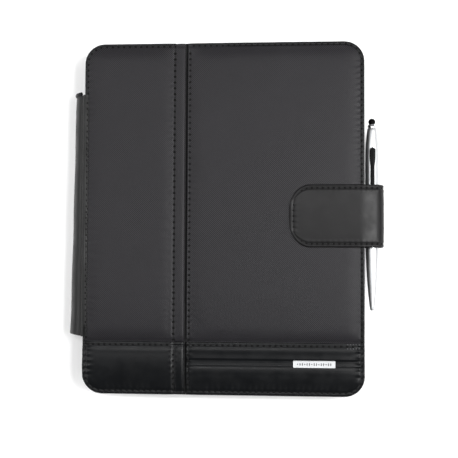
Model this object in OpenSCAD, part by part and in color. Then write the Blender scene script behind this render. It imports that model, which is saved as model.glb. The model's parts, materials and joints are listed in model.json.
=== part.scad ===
// Tablet folio organiser: two padded covers joined by a soft spine, a front cover
// that folds along a groove, a magnetic closure tab that wraps round a stylus pen,
// and a slim tablet computer held in a framed pocket.
// Units are millimetres. The folio lies on its back cover: +X is right, +Y is
// towards its top edge, +Z is up out of the front cover. The origin is the centre
// of the back cover's underside.

/* [Covers] */
// Width of both covers
cover_w = 212; // [208:1:220]
// Height of both covers
cover_h = 266; // [260:1:280]
// Radius of the covers' corners
corner_r = 15; // [8:1:18]
// Thickness of the closed folio over its two covers
case_t = 26; // [26:0.5:28]
// Distance from the cover's spine edge to the fold groove
fold_x = 78; // [60:1:90]
// Height of the leather band along the bottom of the front cover
band_h = 39.5; // [34:0.5:46]

/* [Spine] */
// How far the soft spine stands out at its top end
spine_bulge_top = 9.3; // [5:0.1:10]
// How far the soft spine stands out at its bottom end
spine_bulge_bottom = 12.5; // [5:0.1:13]
// Length of the spine along the cover's edge
spine_len = 184; // [150:1:200]
// Height of the spine's middle above the covers' middle
spine_y = 2; // [-10:0.5:10]

/* [Closure tab] */
// Height of the tab
tab_h = 47; // [36:1:60]
// How far the tab reaches over the front cover
tab_reach = 55.5; // [45:0.5:70]
// How far the tab's bend stands out past the covers' edge
tab_out = 15; // [15:0.1:18]
// Radius of the corners at the tab's free end
tab_end_r = 15; // [8:1:20]
// Height of the tab's middle above the covers' middle
tab_y = 1.3; // [-20:0.1:20]

/* [Pen] */
// Largest radius of the pen's barrels
pen_r = 5; // [4.9:0.1:5.2]
// Where the two barrels meet
pen_joint_y = 1; // [-6:0.5:6]
// Angle by which the clip is turned to the right of straight up
clip_turn = 12; // [0:1:15]

/* [Tablet] */
// Width of the tablet
tablet_w = 186; // [180:1:186]
// Height of the tablet
tablet_h = 241; // [230:1:241]
// Thickness of the tablet
tablet_t = 8.8; // [8.4:0.1:8.8]
// Radius of the headphone socket's bore
jack_r = 1.8; // [1.75:0.05:1.9]

/* [Hidden] */
$fn = 48;
ARC_STEPS = 10;     // facets to each rounded corner of a plate

// Edges of the covers
right = cover_w / 2;
left = -right;
top = cover_h / 2;
bottom = -top;

// Back cover, from the table up
back_leather_t = 1;
back_board_t = 2.4;
back_lining_t = 0.6;
board_inset = 1.6;
back_board_top = back_leather_t + back_board_t;
back_top = back_board_top + back_lining_t;

// Front cover, from its top face down
skin_t = 1.4;        // fabric or band leather
foam_t = 1.6;
front_board_t = 2;
front_lining_t = 0.6;
skin_z = case_t - skin_t;
foam_z = skin_z - foam_t;
front_board_z = foam_z - front_board_t;
front_lining_z = front_board_z - front_lining_t;

// Fold groove between the front cover's two panels
groove_x = left + fold_x;
strip_w = 8.5;                     // soft strip on the groove's spine side
strip_x = groove_x - strip_w;
main_x = groove_x + 1;             // first edge of the main panel
strip_gap = 0.2;
fold_tape_t = 0.8;

// Band along the bottom of the front cover, as heights
band_y = bottom + band_h;
welt_h = 4.2;
welt_rise = 0.3;
band_upper_h = 8.6;
channel_h = 5.5;
channel_depth = 0.9;
welt_y = band_y - welt_h;
channel_top_y = welt_y - band_upper_h;
channel_y = channel_top_y - channel_h;

// Name plate in the band's channel
plate_w = 31.3;
plate_h = 5.4;
plate_t = 1.3;
plate_right = right - 21.5;
pin_r = 0.6;
pin_len = 2.2;

// Tablet's place and its holder
tablet_z = back_top + 0.3;
tablet_top = tablet_z + tablet_t;
tablet_r = 12;
holder_gap = 0.4;
wall_t = 5;
wall_x = tablet_w / 2 + holder_gap;
wall_bottom_y = -tablet_h / 2 - 0.5;
holder_bottom = wall_bottom_y - wall_t;
holder_top = tablet_h / 2 + 3.5;
side_gap_y = 55;                   // the right wall stops here, below the side buttons
port_gap = 32;                     // gap in the bottom wall for a charging plug
frame_z = tablet_top + 0.3;
frame_t = 1.6;
window_w = 152;
window_h = 202;
home_y = -110.5;
home_hole_r = 8.5;
camera_y = 111;
camera_hole_r = 3.5;

// Pen's axis
pen_offset = 6.2;                  // from the covers' edge
pen_rise = 5;                      // above the middle of the closed folio
pen_x = right + pen_offset;
pen_loop_gap = 0.3;
pen_z = case_t / 2 + pen_rise;

// Closure tab: the strap's outer surface and its bend
tab_t = 2.4;
tab_skin_t = 0.9;
tab_core_t = 0.8;
strap_low = back_leather_t;
strap_high = case_t + 0.3 + tab_t;
strap_right = right + tab_out;
bend_r = 9;
tab_tongue = 12;                   // length sewn into the back cover
hinge_angle = 45;                  // where on the upper bend the tab lifts

// Soft spine
spine_gap = 1;
spine_x = left - spine_gap;
spine_t = 1.2;
spine_mid_z = case_t / 2;
spine_half_h = 11;

// ---------- helpers ----------

function arc_points(cx, cy, r, from, to, steps = ARC_STEPS) =
  [for (i = [0:steps]) let (a = from + (to - from) * i / steps) [cx + r * cos(a), cy + r * sin(a)]];

function corner_points(cx, cy, dx, dy, r, from) =
  r > 0 ? arc_points(cx + dx * r, cy + dy * r, r, from, from + 90) : [[cx, cy]];

// A rectangle's outline; r gives the corner radii: bottom left, bottom right, top right, top left
function outline(x0, x1, y0, y1, r) = concat(
  corner_points(x0, y0, 1, 1, r[0], 180),
  corner_points(x1, y0, -1, 1, r[1], 270),
  corner_points(x1, y1, -1, -1, r[2], 0),
  corner_points(x0, y1, 1, -1, r[3], 90)
);

function all_round(r) = [r, r, r, r];

module plate(x0, x1, y0, y1, z0, t, r = [0, 0, 0, 0]) {
  translate([0, 0, z0]) linear_extrude(t) polygon(outline(x0, x1, y0, y1, r));
}

module block(x0, x1, y0, y1, z0, z1) {
  translate([x0, y0, z0]) cube([x1 - x0, y1 - y0, z1 - z0]);
}

// Turns children that stand along +Z so that they lie along +Y on the pen's axis
module on_pen_axis() {
  translate([pen_x, 0, pen_z]) rotate([-90, 0, 0]) children();
}

// ---------- back cover ----------

module back_leather() {
  color([0.12, 0.12, 0.13])
    plate(left, right, bottom, top, 0, back_leather_t, all_round(corner_r));
}

module back_board() {
  board_r = corner_r - board_inset;
  color([0.45, 0.42, 0.38]) difference() {
    plate(left + board_inset, right - board_inset, bottom + board_inset, top - board_inset,
      back_leather_t, back_board_t, all_round(board_r));
    block(right - tab_tongue - 0.2, right + 1, tab_y - tab_h / 2 - 0.2, tab_y + tab_h / 2 + 0.2,
      0, back_board_top + 1);
  }
}

module back_lining() {
  color([0.2, 0.2, 0.21])
    plate(left, right, bottom, top, back_board_top, back_lining_t, all_round(corner_r));
}

// ---------- tablet holder ----------

module holder_wall_left() {
  color([0.13, 0.13, 0.14])
    block(-wall_x - wall_t, -wall_x, holder_bottom, holder_top, back_top, frame_z);
}

module holder_wall_right() {
  color([0.13, 0.13, 0.14])
    block(wall_x, wall_x + wall_t, holder_bottom, side_gap_y, back_top, frame_z);
}

module holder_wall_bottom() {
  color([0.13, 0.13, 0.14]) {
    block(-wall_x, -port_gap / 2, holder_bottom, wall_bottom_y, back_top, frame_z);
    block(port_gap / 2, wall_x, holder_bottom, wall_bottom_y, back_top, frame_z);
  }
}

module holder_frame() {
  frame_x = wall_x + wall_t;
  color([0.13, 0.13, 0.14]) difference() {
    plate(-frame_x, frame_x, holder_bottom, holder_top, frame_z, frame_t, all_round(6));
    plate(-window_w / 2, window_w / 2, -window_h / 2, window_h / 2,
      frame_z - 1, frame_t + 2, all_round(3));
    translate([0, home_y, frame_z - 1]) cylinder(h = frame_t + 2, r = home_hole_r);
    translate([0, camera_y, frame_z - 1]) cylinder(h = frame_t + 2, r = camera_hole_r);
    // opens the home button's hole into the window
    block(-home_hole_r, home_hole_r, home_y, -window_h / 2 + 1,
      frame_z - 1, frame_z + frame_t + 1);
  }
}

// ---------- pen loop and the strap's root ----------

loop_t = 0.7;
loop_r = pen_r + pen_loop_gap;
loop_y0 = -16;
loop_len = 30;

module pen_loop() {
  loop_low = pen_z - loop_r - loop_t;
  color([0.08, 0.08, 0.08]) translate([0, loop_y0 + loop_len, 0]) rotate([90, 0, 0])
    linear_extrude(loop_len) difference() {
      union() {
        translate([pen_x, pen_z]) circle(r = loop_r + loop_t);
        translate([wall_x + wall_t, loop_low]) square([pen_x - wall_x - wall_t, loop_t]);
      }
      translate([pen_x, pen_z]) circle(r = loop_r);
    }
}

// The strap's side view at depth d below its outer surface, as arcs in X and Z
function low_bend(d) =
  arc_points(strap_right - bend_r, strap_low + bend_r, bend_r - d, -90, 0);
function high_bend(d, from, to) =
  arc_points(strap_right - bend_r, strap_high - bend_r, bend_r - d, from, to, 6);
function reversed(list) = [for (i = [len(list) - 1:-1:0]) list[i]];

function root_side(d) = concat(
  [[right - tab_tongue, strap_low + d]], low_bend(d), high_bend(d, 0, hinge_angle)
);
function tab_side(d) = concat(
  high_bend(d, hinge_angle, 90), [[right - tab_reach - 1, strap_high - d]]
);

module side_view_strip(points, y0, y1) {
  translate([0, y1, 0]) rotate([90, 0, 0]) linear_extrude(y1 - y0) polygon(points);
}

module tab_root_strap() {
  color([0.14, 0.13, 0.13])
    side_view_strip(concat(root_side(0), reversed(root_side(tab_t))),
      tab_y - tab_h / 2, tab_y + tab_h / 2);
}

// ---------- closure tab ----------

// One layer of the tab between two depths, cut to the round-ended outline
module tab_layer(d0, d1, inset = 0) {
  intersection() {
    side_view_strip(concat(tab_side(d0), reversed(tab_side(d1))),
      tab_y - tab_h / 2, tab_y + tab_h / 2);
    plate(right - tab_reach + inset, strap_right + 1, tab_y - tab_h / 2 + inset,
      tab_y + tab_h / 2 - inset, case_t - 8, 14,
      [tab_end_r - inset, 0, 0, tab_end_r - inset]);
  }
}

magnet_r = 9;
magnet_x = right - tab_reach + 15;
core_low = strap_high - tab_skin_t - tab_core_t;

module tab_leather() {
  color([0.14, 0.13, 0.13]) tab_layer(0, tab_skin_t);
}

module tab_core() {
  color([0.55, 0.53, 0.5]) difference() {
    plate(right - tab_reach + 2, right - 1, tab_y - tab_h / 2 + 2, tab_y + tab_h / 2 - 2,
      core_low, tab_core_t, [tab_end_r - 2, 0, 0, tab_end_r - 2]);
    translate([magnet_x, tab_y, core_low - 1]) cylinder(h = tab_core_t + 2, r = magnet_r + 0.1);
  }
}

module tab_magnet() {
  color([0.75, 0.75, 0.77])
    translate([magnet_x, tab_y, core_low]) cylinder(h = tab_core_t, r = magnet_r);
}

module tab_lining() {
  color([0.11, 0.11, 0.12]) tab_layer(tab_skin_t + tab_core_t, tab_t);
}

// ---------- spine ----------

// One end of a soft C-shaped band: depth is how far it stands out, t its thickness
function band_section(depth, inset, t, y) = concat(
  [for (p = arc_points(0, 0, 1, 90, 270, 16))
    [spine_x + p[0] * (depth - spine_gap - inset), y, spine_mid_z + p[1] * (spine_half_h - inset)]],
  [for (p = arc_points(0, 0, 1, 270, 90, 16))
    [spine_x + p[0] * (depth - spine_gap - inset - t), y, spine_mid_z + p[1] * (spine_half_h - inset - t)]]
);

module soft_band(inset, t, y0, y1) {
  low = band_section(spine_bulge_bottom, inset, t, y0);
  high = band_section(spine_bulge_top, inset, t, y1);
  n = len(low);
  half = n / 2;
  sides = [for (i = [0:n - 1]) let (j = (i + 1) % n) [i, j, n + j, n + i]];
  low_cap = [for (i = [0:half - 2]) [i, n - 1 - i, n - 2 - i, i + 1]];
  high_cap = [for (f = low_cap) [for (k = [3:-1:0]) n + f[k]]];
  polyhedron(points = concat(low, high), faces = concat(sides, low_cap, high_cap));
}

module spine_leather() {
  color([0.13, 0.13, 0.13]) soft_band(0, spine_t, spine_y - spine_len / 2, spine_y + spine_len / 2);
}

module spine_lining() {
  color([0.2, 0.2, 0.21])
    soft_band(spine_t + 0.4, 0.6, spine_y - spine_len / 2, spine_y + spine_len / 2);
}

// ---------- front cover, spine-side panel ----------

// A layer of the spine-side panel's stiff part
module left_layer(z0, t, inset) {
  r = corner_r - inset;
  plate(left + inset, strip_x, bottom + inset, top - inset, z0, t, [r, 0, 0, r]);
}

module left_fabric() {
  color([0.25, 0.25, 0.26])
    plate(left, strip_x, band_y, top, skin_z, skin_t, [0, 0, 0, corner_r]);
}

module left_foam() {
  color([0.3, 0.3, 0.32]) left_layer(foam_z, foam_t, board_inset);
}

module left_board() {
  color([0.45, 0.42, 0.38]) left_layer(front_board_z, front_board_t, board_inset);
}

module left_lining() {
  color([0.2, 0.2, 0.21]) left_layer(front_lining_z, front_lining_t, 0.5);
}

module left_band() {
  color([0.14, 0.15, 0.16])
    plate(left, strip_x, bottom, welt_y, skin_z, skin_t, [corner_r, 0, 0, 0]);
}

module left_welt() {
  color([0.15, 0.16, 0.17])
    plate(left, strip_x, welt_y, band_y, skin_z, skin_t + welt_rise);
}

// ---------- fold ----------

module fold_strip_fabric() {
  color([0.25, 0.25, 0.26])
    plate(strip_x + strip_gap, main_x - strip_gap, band_y, top, skin_z, skin_t);
}

module fold_strip_leather() {
  color([0.14, 0.15, 0.16])
    plate(strip_x + strip_gap, main_x - strip_gap, bottom, band_y - strip_gap, skin_z, skin_t);
}

module fold_tape() {
  color([0.1, 0.1, 0.1])
    plate(strip_x + strip_gap, main_x - strip_gap, bottom + 1, top - 1,
      skin_z - fold_tape_t, fold_tape_t);
}

// ---------- front cover, main panel ----------

module main_layer(z0, t, inset) {
  r = corner_r - inset;
  plate(main_x, right - inset, bottom + inset, top - inset, z0, t, [0, r, r, 0]);
}

catch_r = 10;

module main_fabric() {
  color([0.26, 0.26, 0.27])
    plate(main_x, right, band_y, top, skin_z, skin_t, [0, 0, corner_r, 0]);
}

module main_foam() {
  color([0.3, 0.3, 0.32]) difference() {
    main_layer(foam_z, foam_t, board_inset);
    translate([magnet_x, tab_y, foam_z - 1]) cylinder(h = foam_t + 2, r = catch_r + 0.2);
    name_plate_pins_solid(0.15);
  }
}

module main_board() {
  color([0.45, 0.42, 0.38]) main_layer(front_board_z, front_board_t, board_inset);
}

module main_lining() {
  color([0.2, 0.2, 0.21]) main_layer(front_lining_z, front_lining_t, 0.5);
}

module band_upper() {
  color([0.13, 0.14, 0.15]) plate(main_x, right, channel_top_y, welt_y, skin_z, skin_t);
}

module band_channel() {
  color([0.15, 0.16, 0.17]) difference() {
    plate(main_x, right, channel_y, channel_top_y, skin_z, skin_t - channel_depth);
    name_plate_pins_solid(0.15);
  }
}

module band_lower() {
  color([0.12, 0.13, 0.14])
    plate(main_x, right, bottom, channel_y, skin_z, skin_t, [0, corner_r, 0, 0]);
}

module main_welt() {
  color([0.15, 0.16, 0.17]) plate(main_x, right, welt_y, band_y, skin_z, skin_t + welt_rise);
}

plate_z = case_t - channel_depth;
plate_mid_y = (channel_y + channel_top_y) / 2;

module name_plate() {
  color([0.8, 0.81, 0.82])
    plate(plate_right - plate_w, plate_right, plate_mid_y - plate_h / 2, plate_mid_y + plate_h / 2,
      plate_z, plate_t, all_round(0.5));
}

module name_plate_pins_solid(clearance) {
  for (x = [plate_right - plate_w + 6, plate_right - 6])
    translate([x, plate_mid_y, foam_z - clearance])
      cylinder(h = plate_z - foam_z + clearance, r = pin_r + clearance);
}

module name_plate_pins() {
  color([0.7, 0.7, 0.72]) name_plate_pins_solid(0);
}

module catch_plate() {
  color([0.6, 0.6, 0.62]) translate([magnet_x, tab_y, foam_z + 0.6]) cylinder(h = 0.8, r = catch_r);
}

// ---------- pockets inside the main panel ----------

pocket_t = 0.6;
card_w = 92;
card_step = 14;

module document_pocket() {
  color([0.17, 0.17, 0.18])
    plate(main_x + 3, right - 4, bottom + 4, top - 30, front_lining_z - pocket_t, pocket_t,
      [0, corner_r - 4, 0, 0]);
}

// Three stepped card slots, each a leaf that stands a little further out than the last
module card_pockets() {
  for (i = [0:2])
    color([0.14, 0.14, 0.15])
      plate(main_x + 20, main_x + 20 + card_w, -40, 40 - i * card_step,
        front_lining_z - pocket_t * (i + 2), pocket_t);
}

// ---------- pen ----------

pen_top_y = 68;
pen_tip_y = -69;
tip_r = 1.25;
nose_bore_r = 0.85;
nose_len = 4;
barrel_wall = 0.8;
barrel_bore_r = 3.9;
upper_bore_r = 4.3;
upper_bore_end = 14;               // solid length at the upper barrel's top

function lower_r(y) = let (s = (pen_joint_y - y) / (pen_joint_y - pen_tip_y))
  tip_r + (pen_r - tip_r) * pow(max(0, 1 - pow(s, 2.3)), 0.8);
function lower_bore(y) = y < pen_tip_y + nose_len ? nose_bore_r
  : max(nose_bore_r, min(barrel_bore_r, lower_r(y) - barrel_wall));
upper_end_r = 3.25;
taper_y = 38;
function upper_r(y) = let (u = max(0, (y - taper_y) / (pen_top_y - taper_y)))
  upper_end_r + (pen_r - upper_end_r) * (1 - pow(u, 3));

upper_y0 = pen_joint_y + 0.9;

module pen_lower_barrel() {
  steps = 20;
  ys = [for (i = [0:steps]) pen_joint_y + (pen_tip_y - pen_joint_y) * pow(i / steps, 0.85)];
  color([0.75, 0.76, 0.77]) on_pen_axis() rotate_extrude() polygon(concat(
    [for (y = ys) [lower_r(y), y]],
    [for (y = reversed(ys)) [lower_bore(y), y]]
  ));
}

module pen_upper_barrel_shape(bore) {
  steps = 14;
  ys = [for (i = [0:steps]) upper_y0 + (pen_top_y - upper_y0) * i / steps];
  bore_top = pen_top_y - upper_bore_end;
  rotate_extrude() polygon(concat(
    [for (y = ys) [upper_r(y), y]],
    bore ? [[0, pen_top_y], [0, bore_top], [upper_bore_r, bore_top - 6], [upper_bore_r, upper_y0]]
      : [[0, pen_top_y], [0, upper_y0]]
  ));
}

module pen_upper_barrel() {
  color([0.75, 0.76, 0.77]) on_pen_axis() pen_upper_barrel_shape(true);
}

module pen_centre_ring() {
  color([0.85, 0.85, 0.86]) on_pen_axis() translate([0, 0, pen_joint_y]) difference() {
    cylinder(h = upper_y0 - pen_joint_y, r = pen_r + 0.08);
    translate([0, 0, -1]) cylinder(h = 3, r = barrel_bore_r);
  }
}

collar_h = 2.8;

module stylus_collar() {
  color([0.85, 0.85, 0.86]) on_pen_axis() translate([0, 0, pen_top_y])
    rotate_extrude() polygon([
      [0, 0], [2.95, 0], [2.95, 0.5], [3.15, 0.5], [3.15, 1.1], [2.5, collar_h], [0, collar_h]
    ]);
}

module stylus_tip() {
  ball_r = 2.6;
  ball = [for (p = arc_points(0, 1.9, ball_r, -30, 90)) [max(0, p[0]), p[1]]];
  color([0.05, 0.05, 0.05]) on_pen_axis() translate([0, 0, pen_top_y + collar_h]) rotate_extrude()
    polygon(concat([[0, 0], [2.2, 0]], ball));
}

// The clip lies above the barrel; turn says how far round the barrel it sits
clip_y0 = 9.5;
clip_y1 = 53;
clip_gap = 1.5;
clip_t = 1.1;
function clip_half_w(y) = let (u = (y - clip_y0) / (clip_y1 - clip_y0))
  1.3 + 1.1 * pow(u, 2.4);

module pen_clip() {
  steps = 10;
  side = [for (i = [0:steps]) let (y = clip_y0 + 1.3 + (clip_y1 - 2.4 - clip_y0 - 1.3) * i / steps)
    [clip_half_w(y), y]];
  top_end = arc_points(0, clip_y1 - 2.4, 2.36, 20, 160, 8);
  low_end = arc_points(0, clip_y0 + 1.3, 1.3, 200, 340, 6);
  color([0.06, 0.06, 0.07]) translate([pen_x, 0, pen_z]) rotate([0, clip_turn, 0]) difference() {
    union() {
      translate([0, 0, pen_r + clip_gap]) linear_extrude(clip_t)
        polygon(concat(side, top_end, [for (p = reversed(side)) [-p[0], p[1]]], low_end));
      block(-1.8, 1.8, clip_y1 - 8, clip_y1 - 2, 2, pen_r + clip_gap + 0.2);
    }
    rotate([-90, 0, 0]) pen_upper_barrel_shape(false);
  }
}

// A stepped core: its wide end is fixed in the upper barrel, and the lower barrel
// turns on its narrow end
core_bore_r = 2.4;
core_r = 4.2;
core_neck_r = barrel_bore_r - 0.08;
core_low_y = -8;
core_high_y = 40;

module pen_twist_core() {
  step_y = upper_y0 + 1;
  bore_end_y = core_high_y - 11;
  color([0.8, 0.78, 0.6]) on_pen_axis() rotate_extrude() polygon([
    [core_bore_r, core_low_y], [core_neck_r, core_low_y], [core_neck_r, step_y],
    [core_r, step_y], [core_r, core_high_y], [0, core_high_y], [0, bore_end_y], [core_bore_r, bore_end_y]
  ]);
}

refill_r = 2.2;
refill_low_y = -48;

module refill_tube() {
  color([0.3, 0.3, 0.32]) on_pen_axis() translate([0, 0, refill_low_y])
    cylinder(h = 24 - refill_low_y, r = refill_r);
}

module refill_point() {
  color([0.78, 0.68, 0.4]) on_pen_axis() rotate_extrude() polygon([
    [0, pen_tip_y + 0.7], [0.35, pen_tip_y + 0.8], [0.7, pen_tip_y + 2.4], [0.7, refill_low_y - 10],
    [refill_r, refill_low_y], [0, refill_low_y]
  ]);
}

// ---------- tablet ----------

glass_t = 1;
housing_top = tablet_top - glass_t;
housing_wall = 1.4;
housing_floor = 1.2;
edge_x = tablet_w / 2;
edge_y = tablet_h / 2;
port_z = tablet_z + 4.3;           // height of the edge's buttons and sockets
jack_x = -78;
jack_len = 13;
power_x = 78;
power_half = 5;                    // half the length of each edge button
volume_y = 82;
volume_half = 10;
lock_y = 101.5;
lock_half = 2.5;
lock_travel = 2;
button_half_h = 1.3;
slot_gap = 0.2;                    // room round a button in its slot
dock_half = 11;
speaker_x = 63;
home_r = 5.6;

module tablet_housing() {
  inner_r = tablet_r - housing_wall;
  color([0.7, 0.71, 0.72]) difference() {
    plate(-edge_x, edge_x, -edge_y, edge_y, tablet_z, tablet_t - glass_t, all_round(tablet_r));
    plate(-edge_x + housing_wall, edge_x - housing_wall, -edge_y + housing_wall,
      edge_y - housing_wall, tablet_z + housing_floor, tablet_t, all_round(inner_r));
    translate([jack_x, edge_y + 1, port_z]) rotate([90, 0, 0]) cylinder(h = 4, r = 3);
    block(power_x - power_half - slot_gap, power_x + power_half + slot_gap, edge_y - 3, edge_y + 1,
      port_z - button_half_h - slot_gap, port_z + button_half_h + slot_gap);
    block(edge_x - 3, edge_x + 1, volume_y - volume_half - 2 * slot_gap,
      volume_y + volume_half + 2 * slot_gap,
      port_z - button_half_h - slot_gap, port_z + button_half_h + slot_gap);
    block(edge_x - 3, edge_x + 1, lock_y - lock_half - 0.3, lock_y + lock_half + 0.3 + lock_travel,
      port_z - button_half_h, port_z + button_half_h);
    block(-dock_half - slot_gap, dock_half + slot_gap, -edge_y - 1, -edge_y + 3,
      port_z - 1.8, port_z + 1.8);
    block(speaker_x - 11, speaker_x + 11, -edge_y - 1, -edge_y + 3, port_z - 0.8, port_z + 0.8);
  }
}

module tablet_glass() {
  color([0.03, 0.03, 0.035]) difference() {
    plate(-edge_x + 0.5, edge_x - 0.5, -edge_y + 0.5, edge_y - 0.5, housing_top, glass_t,
      all_round(tablet_r - 0.5));
    translate([0, home_y, housing_top - 1]) cylinder(h = glass_t + 2, r = home_r + 0.15);
  }
}

module tablet_display() {
  color([0.1, 0.12, 0.16])
    block(-window_w / 2, window_w / 2, -window_h / 2, window_h / 2, housing_top - 2.4, housing_top);
}

module tablet_battery() {
  color([0.2, 0.2, 0.22])
    for (x = [-54, 0, 54])
      block(x - 25, x + 25, -98, 12, tablet_z + housing_floor, tablet_z + housing_floor + 3.6);
}

module tablet_logic_board() {
  board_z = tablet_z + housing_floor + 0.4;
  color([0.1, 0.3, 0.2]) {
    block(-70, 70, 30, 74, board_z, board_z + 1);
    for (x = [-50, -20, 14, 46])
      block(x - 8, x + 8, 42, 58, board_z + 1, board_z + 2.2);
  }
}

module headphone_jack() {
  color([0.1, 0.1, 0.1]) translate([jack_x, edge_y, port_z]) rotate([90, 0, 0]) difference() {
    cylinder(h = jack_len + 1, r = 2.95);
    translate([0, 0, -1]) cylinder(h = jack_len + 1, r = jack_r);
  }
}

module tablet_camera() {
  color([0.08, 0.08, 0.1]) translate([0, camera_y, housing_top - 3]) cylinder(h = 3, r = 2.4);
}

module tablet_speaker() {
  low_y = -edge_y + housing_wall + 0.2;
  color([0.15, 0.15, 0.16]) block(speaker_x - 13, speaker_x + 13, low_y, low_y + 11, tablet_z + housing_floor, port_z + 2);
}

module dock_connector() {
  color([0.6, 0.6, 0.62]) difference() {
    block(-dock_half, dock_half, -edge_y + 0.1, -edge_y + 7, port_z - 1.6, port_z + 1.6);
    block(1 - dock_half, dock_half - 1, -edge_y - 1, -edge_y + 5.5, port_z - 1, port_z + 1);
  }
}

module home_button() {
  flange_top = housing_top - 0.2;
  color([0.05, 0.05, 0.055]) translate([0, home_y, flange_top - 0.7]) {
    cylinder(h = 0.7, r = home_r + 0.9);
    translate([0, 0, 0.7]) cylinder(h = tablet_top - flange_top - 0.1, r = home_r);
  }
}

module power_button() {
  inner_y = edge_y - housing_wall;
  color([0.08, 0.08, 0.08]) {
    block(power_x - power_half, power_x + power_half, inner_y - 0.5, edge_y + 0.7,
      port_z - button_half_h, port_z + button_half_h);
    block(power_x - power_half - 1, power_x + power_half + 1, inner_y - 1.3, inner_y - 0.5,
      port_z - button_half_h - 0.5, port_z + button_half_h + 0.5);
  }
}

module volume_rocker() {
  inner_x = edge_x - housing_wall;
  color([0.08, 0.08, 0.08]) {
    block(inner_x - 0.6, edge_x + 0.7, volume_y - volume_half, volume_y + volume_half,
      port_z - button_half_h, port_z + button_half_h);
    block(inner_x - 2.2, inner_x - 0.6, volume_y - 3, volume_y + 3,
      port_z - button_half_h, port_z + button_half_h);
  }
}

module lock_switch() {
  inner_x = edge_x - housing_wall;
  color([0.08, 0.08, 0.08])
    block(inner_x - 1, edge_x + 0.5, lock_y - lock_half, lock_y + lock_half, port_z - 1.1, port_z + 1.1);
}

back_leather();
back_board();
back_lining();
holder_wall_left();
holder_wall_right();
holder_wall_bottom();
holder_frame();
pen_loop();
tab_root_strap();
spine_leather();
spine_lining();
left_fabric();
left_foam();
left_board();
left_lining();
left_band();
left_welt();
fold_strip_fabric();
fold_strip_leather();
fold_tape();
main_fabric();
main_foam();
main_board();
main_lining();
band_upper();
band_channel();
band_lower();
main_welt();
name_plate();
name_plate_pins();
catch_plate();
document_pocket();
card_pockets();
tab_leather();
tab_core();
tab_magnet();
tab_lining();
pen_upper_barrel();
pen_clip();
pen_centre_ring();
stylus_collar();
stylus_tip();
pen_twist_core();
pen_lower_barrel();
refill_tube();
refill_point();
tablet_housing();
tablet_glass();
tablet_display();
tablet_battery();
tablet_logic_board();
headphone_jack();
tablet_camera();
tablet_speaker();
dock_connector();
home_button();
power_button();
volume_rocker();
lock_switch();
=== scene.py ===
"""Visual model of a tablet folio organiser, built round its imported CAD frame.

Shapes are worked out in millimetres in the CAD's own frame (+X right, +Y to the top edge,
+Z out of the front cover) and turned into metres when a mesh is made. A solid is a pair of
points and faces.
"""

import json
import math

import bmesh
import bpy
import numpy as np
from mathutils import Matrix, Vector


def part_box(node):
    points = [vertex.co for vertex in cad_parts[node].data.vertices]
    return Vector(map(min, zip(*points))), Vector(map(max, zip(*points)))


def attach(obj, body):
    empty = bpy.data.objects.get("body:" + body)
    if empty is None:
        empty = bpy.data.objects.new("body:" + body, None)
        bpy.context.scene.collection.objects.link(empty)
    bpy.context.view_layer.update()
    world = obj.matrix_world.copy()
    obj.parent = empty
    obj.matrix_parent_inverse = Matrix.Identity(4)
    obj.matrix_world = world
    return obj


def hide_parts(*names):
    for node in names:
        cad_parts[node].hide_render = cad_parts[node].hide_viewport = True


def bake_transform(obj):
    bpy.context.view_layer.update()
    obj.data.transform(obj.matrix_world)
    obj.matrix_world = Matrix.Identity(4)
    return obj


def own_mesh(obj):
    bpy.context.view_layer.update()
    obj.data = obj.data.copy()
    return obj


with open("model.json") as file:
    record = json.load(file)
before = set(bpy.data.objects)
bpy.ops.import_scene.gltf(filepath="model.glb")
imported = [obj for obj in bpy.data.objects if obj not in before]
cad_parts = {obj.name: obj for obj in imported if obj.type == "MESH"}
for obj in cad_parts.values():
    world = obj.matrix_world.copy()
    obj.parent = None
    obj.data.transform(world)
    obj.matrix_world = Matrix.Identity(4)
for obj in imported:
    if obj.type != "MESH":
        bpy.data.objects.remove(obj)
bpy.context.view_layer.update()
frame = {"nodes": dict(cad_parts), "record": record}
NODES = frame["nodes"]
MM = 0.001
STITCH = 4.4        # pitch of the covers' sewn lines
TAB_STITCH = 4.1    # pitch of the tab's
# Size of the small near-black blobs of painted shade at needle holes.
SMALL_HOLE_SHADE_PAINT = (1.2, 1.0)


def cad(node):
    """A CAD node's lowest and highest corner, in millimetres."""
    low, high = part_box(node)
    return low / MM, high / MM


def sides(node):
    """A CAD node's box as x0, x1, y0, y1, z0, z1."""
    low, high = cad(node)
    return low.x, high.x, low.y, high.y, low.z, high.z


# ---------------------------------------------------------------- materials


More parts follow.
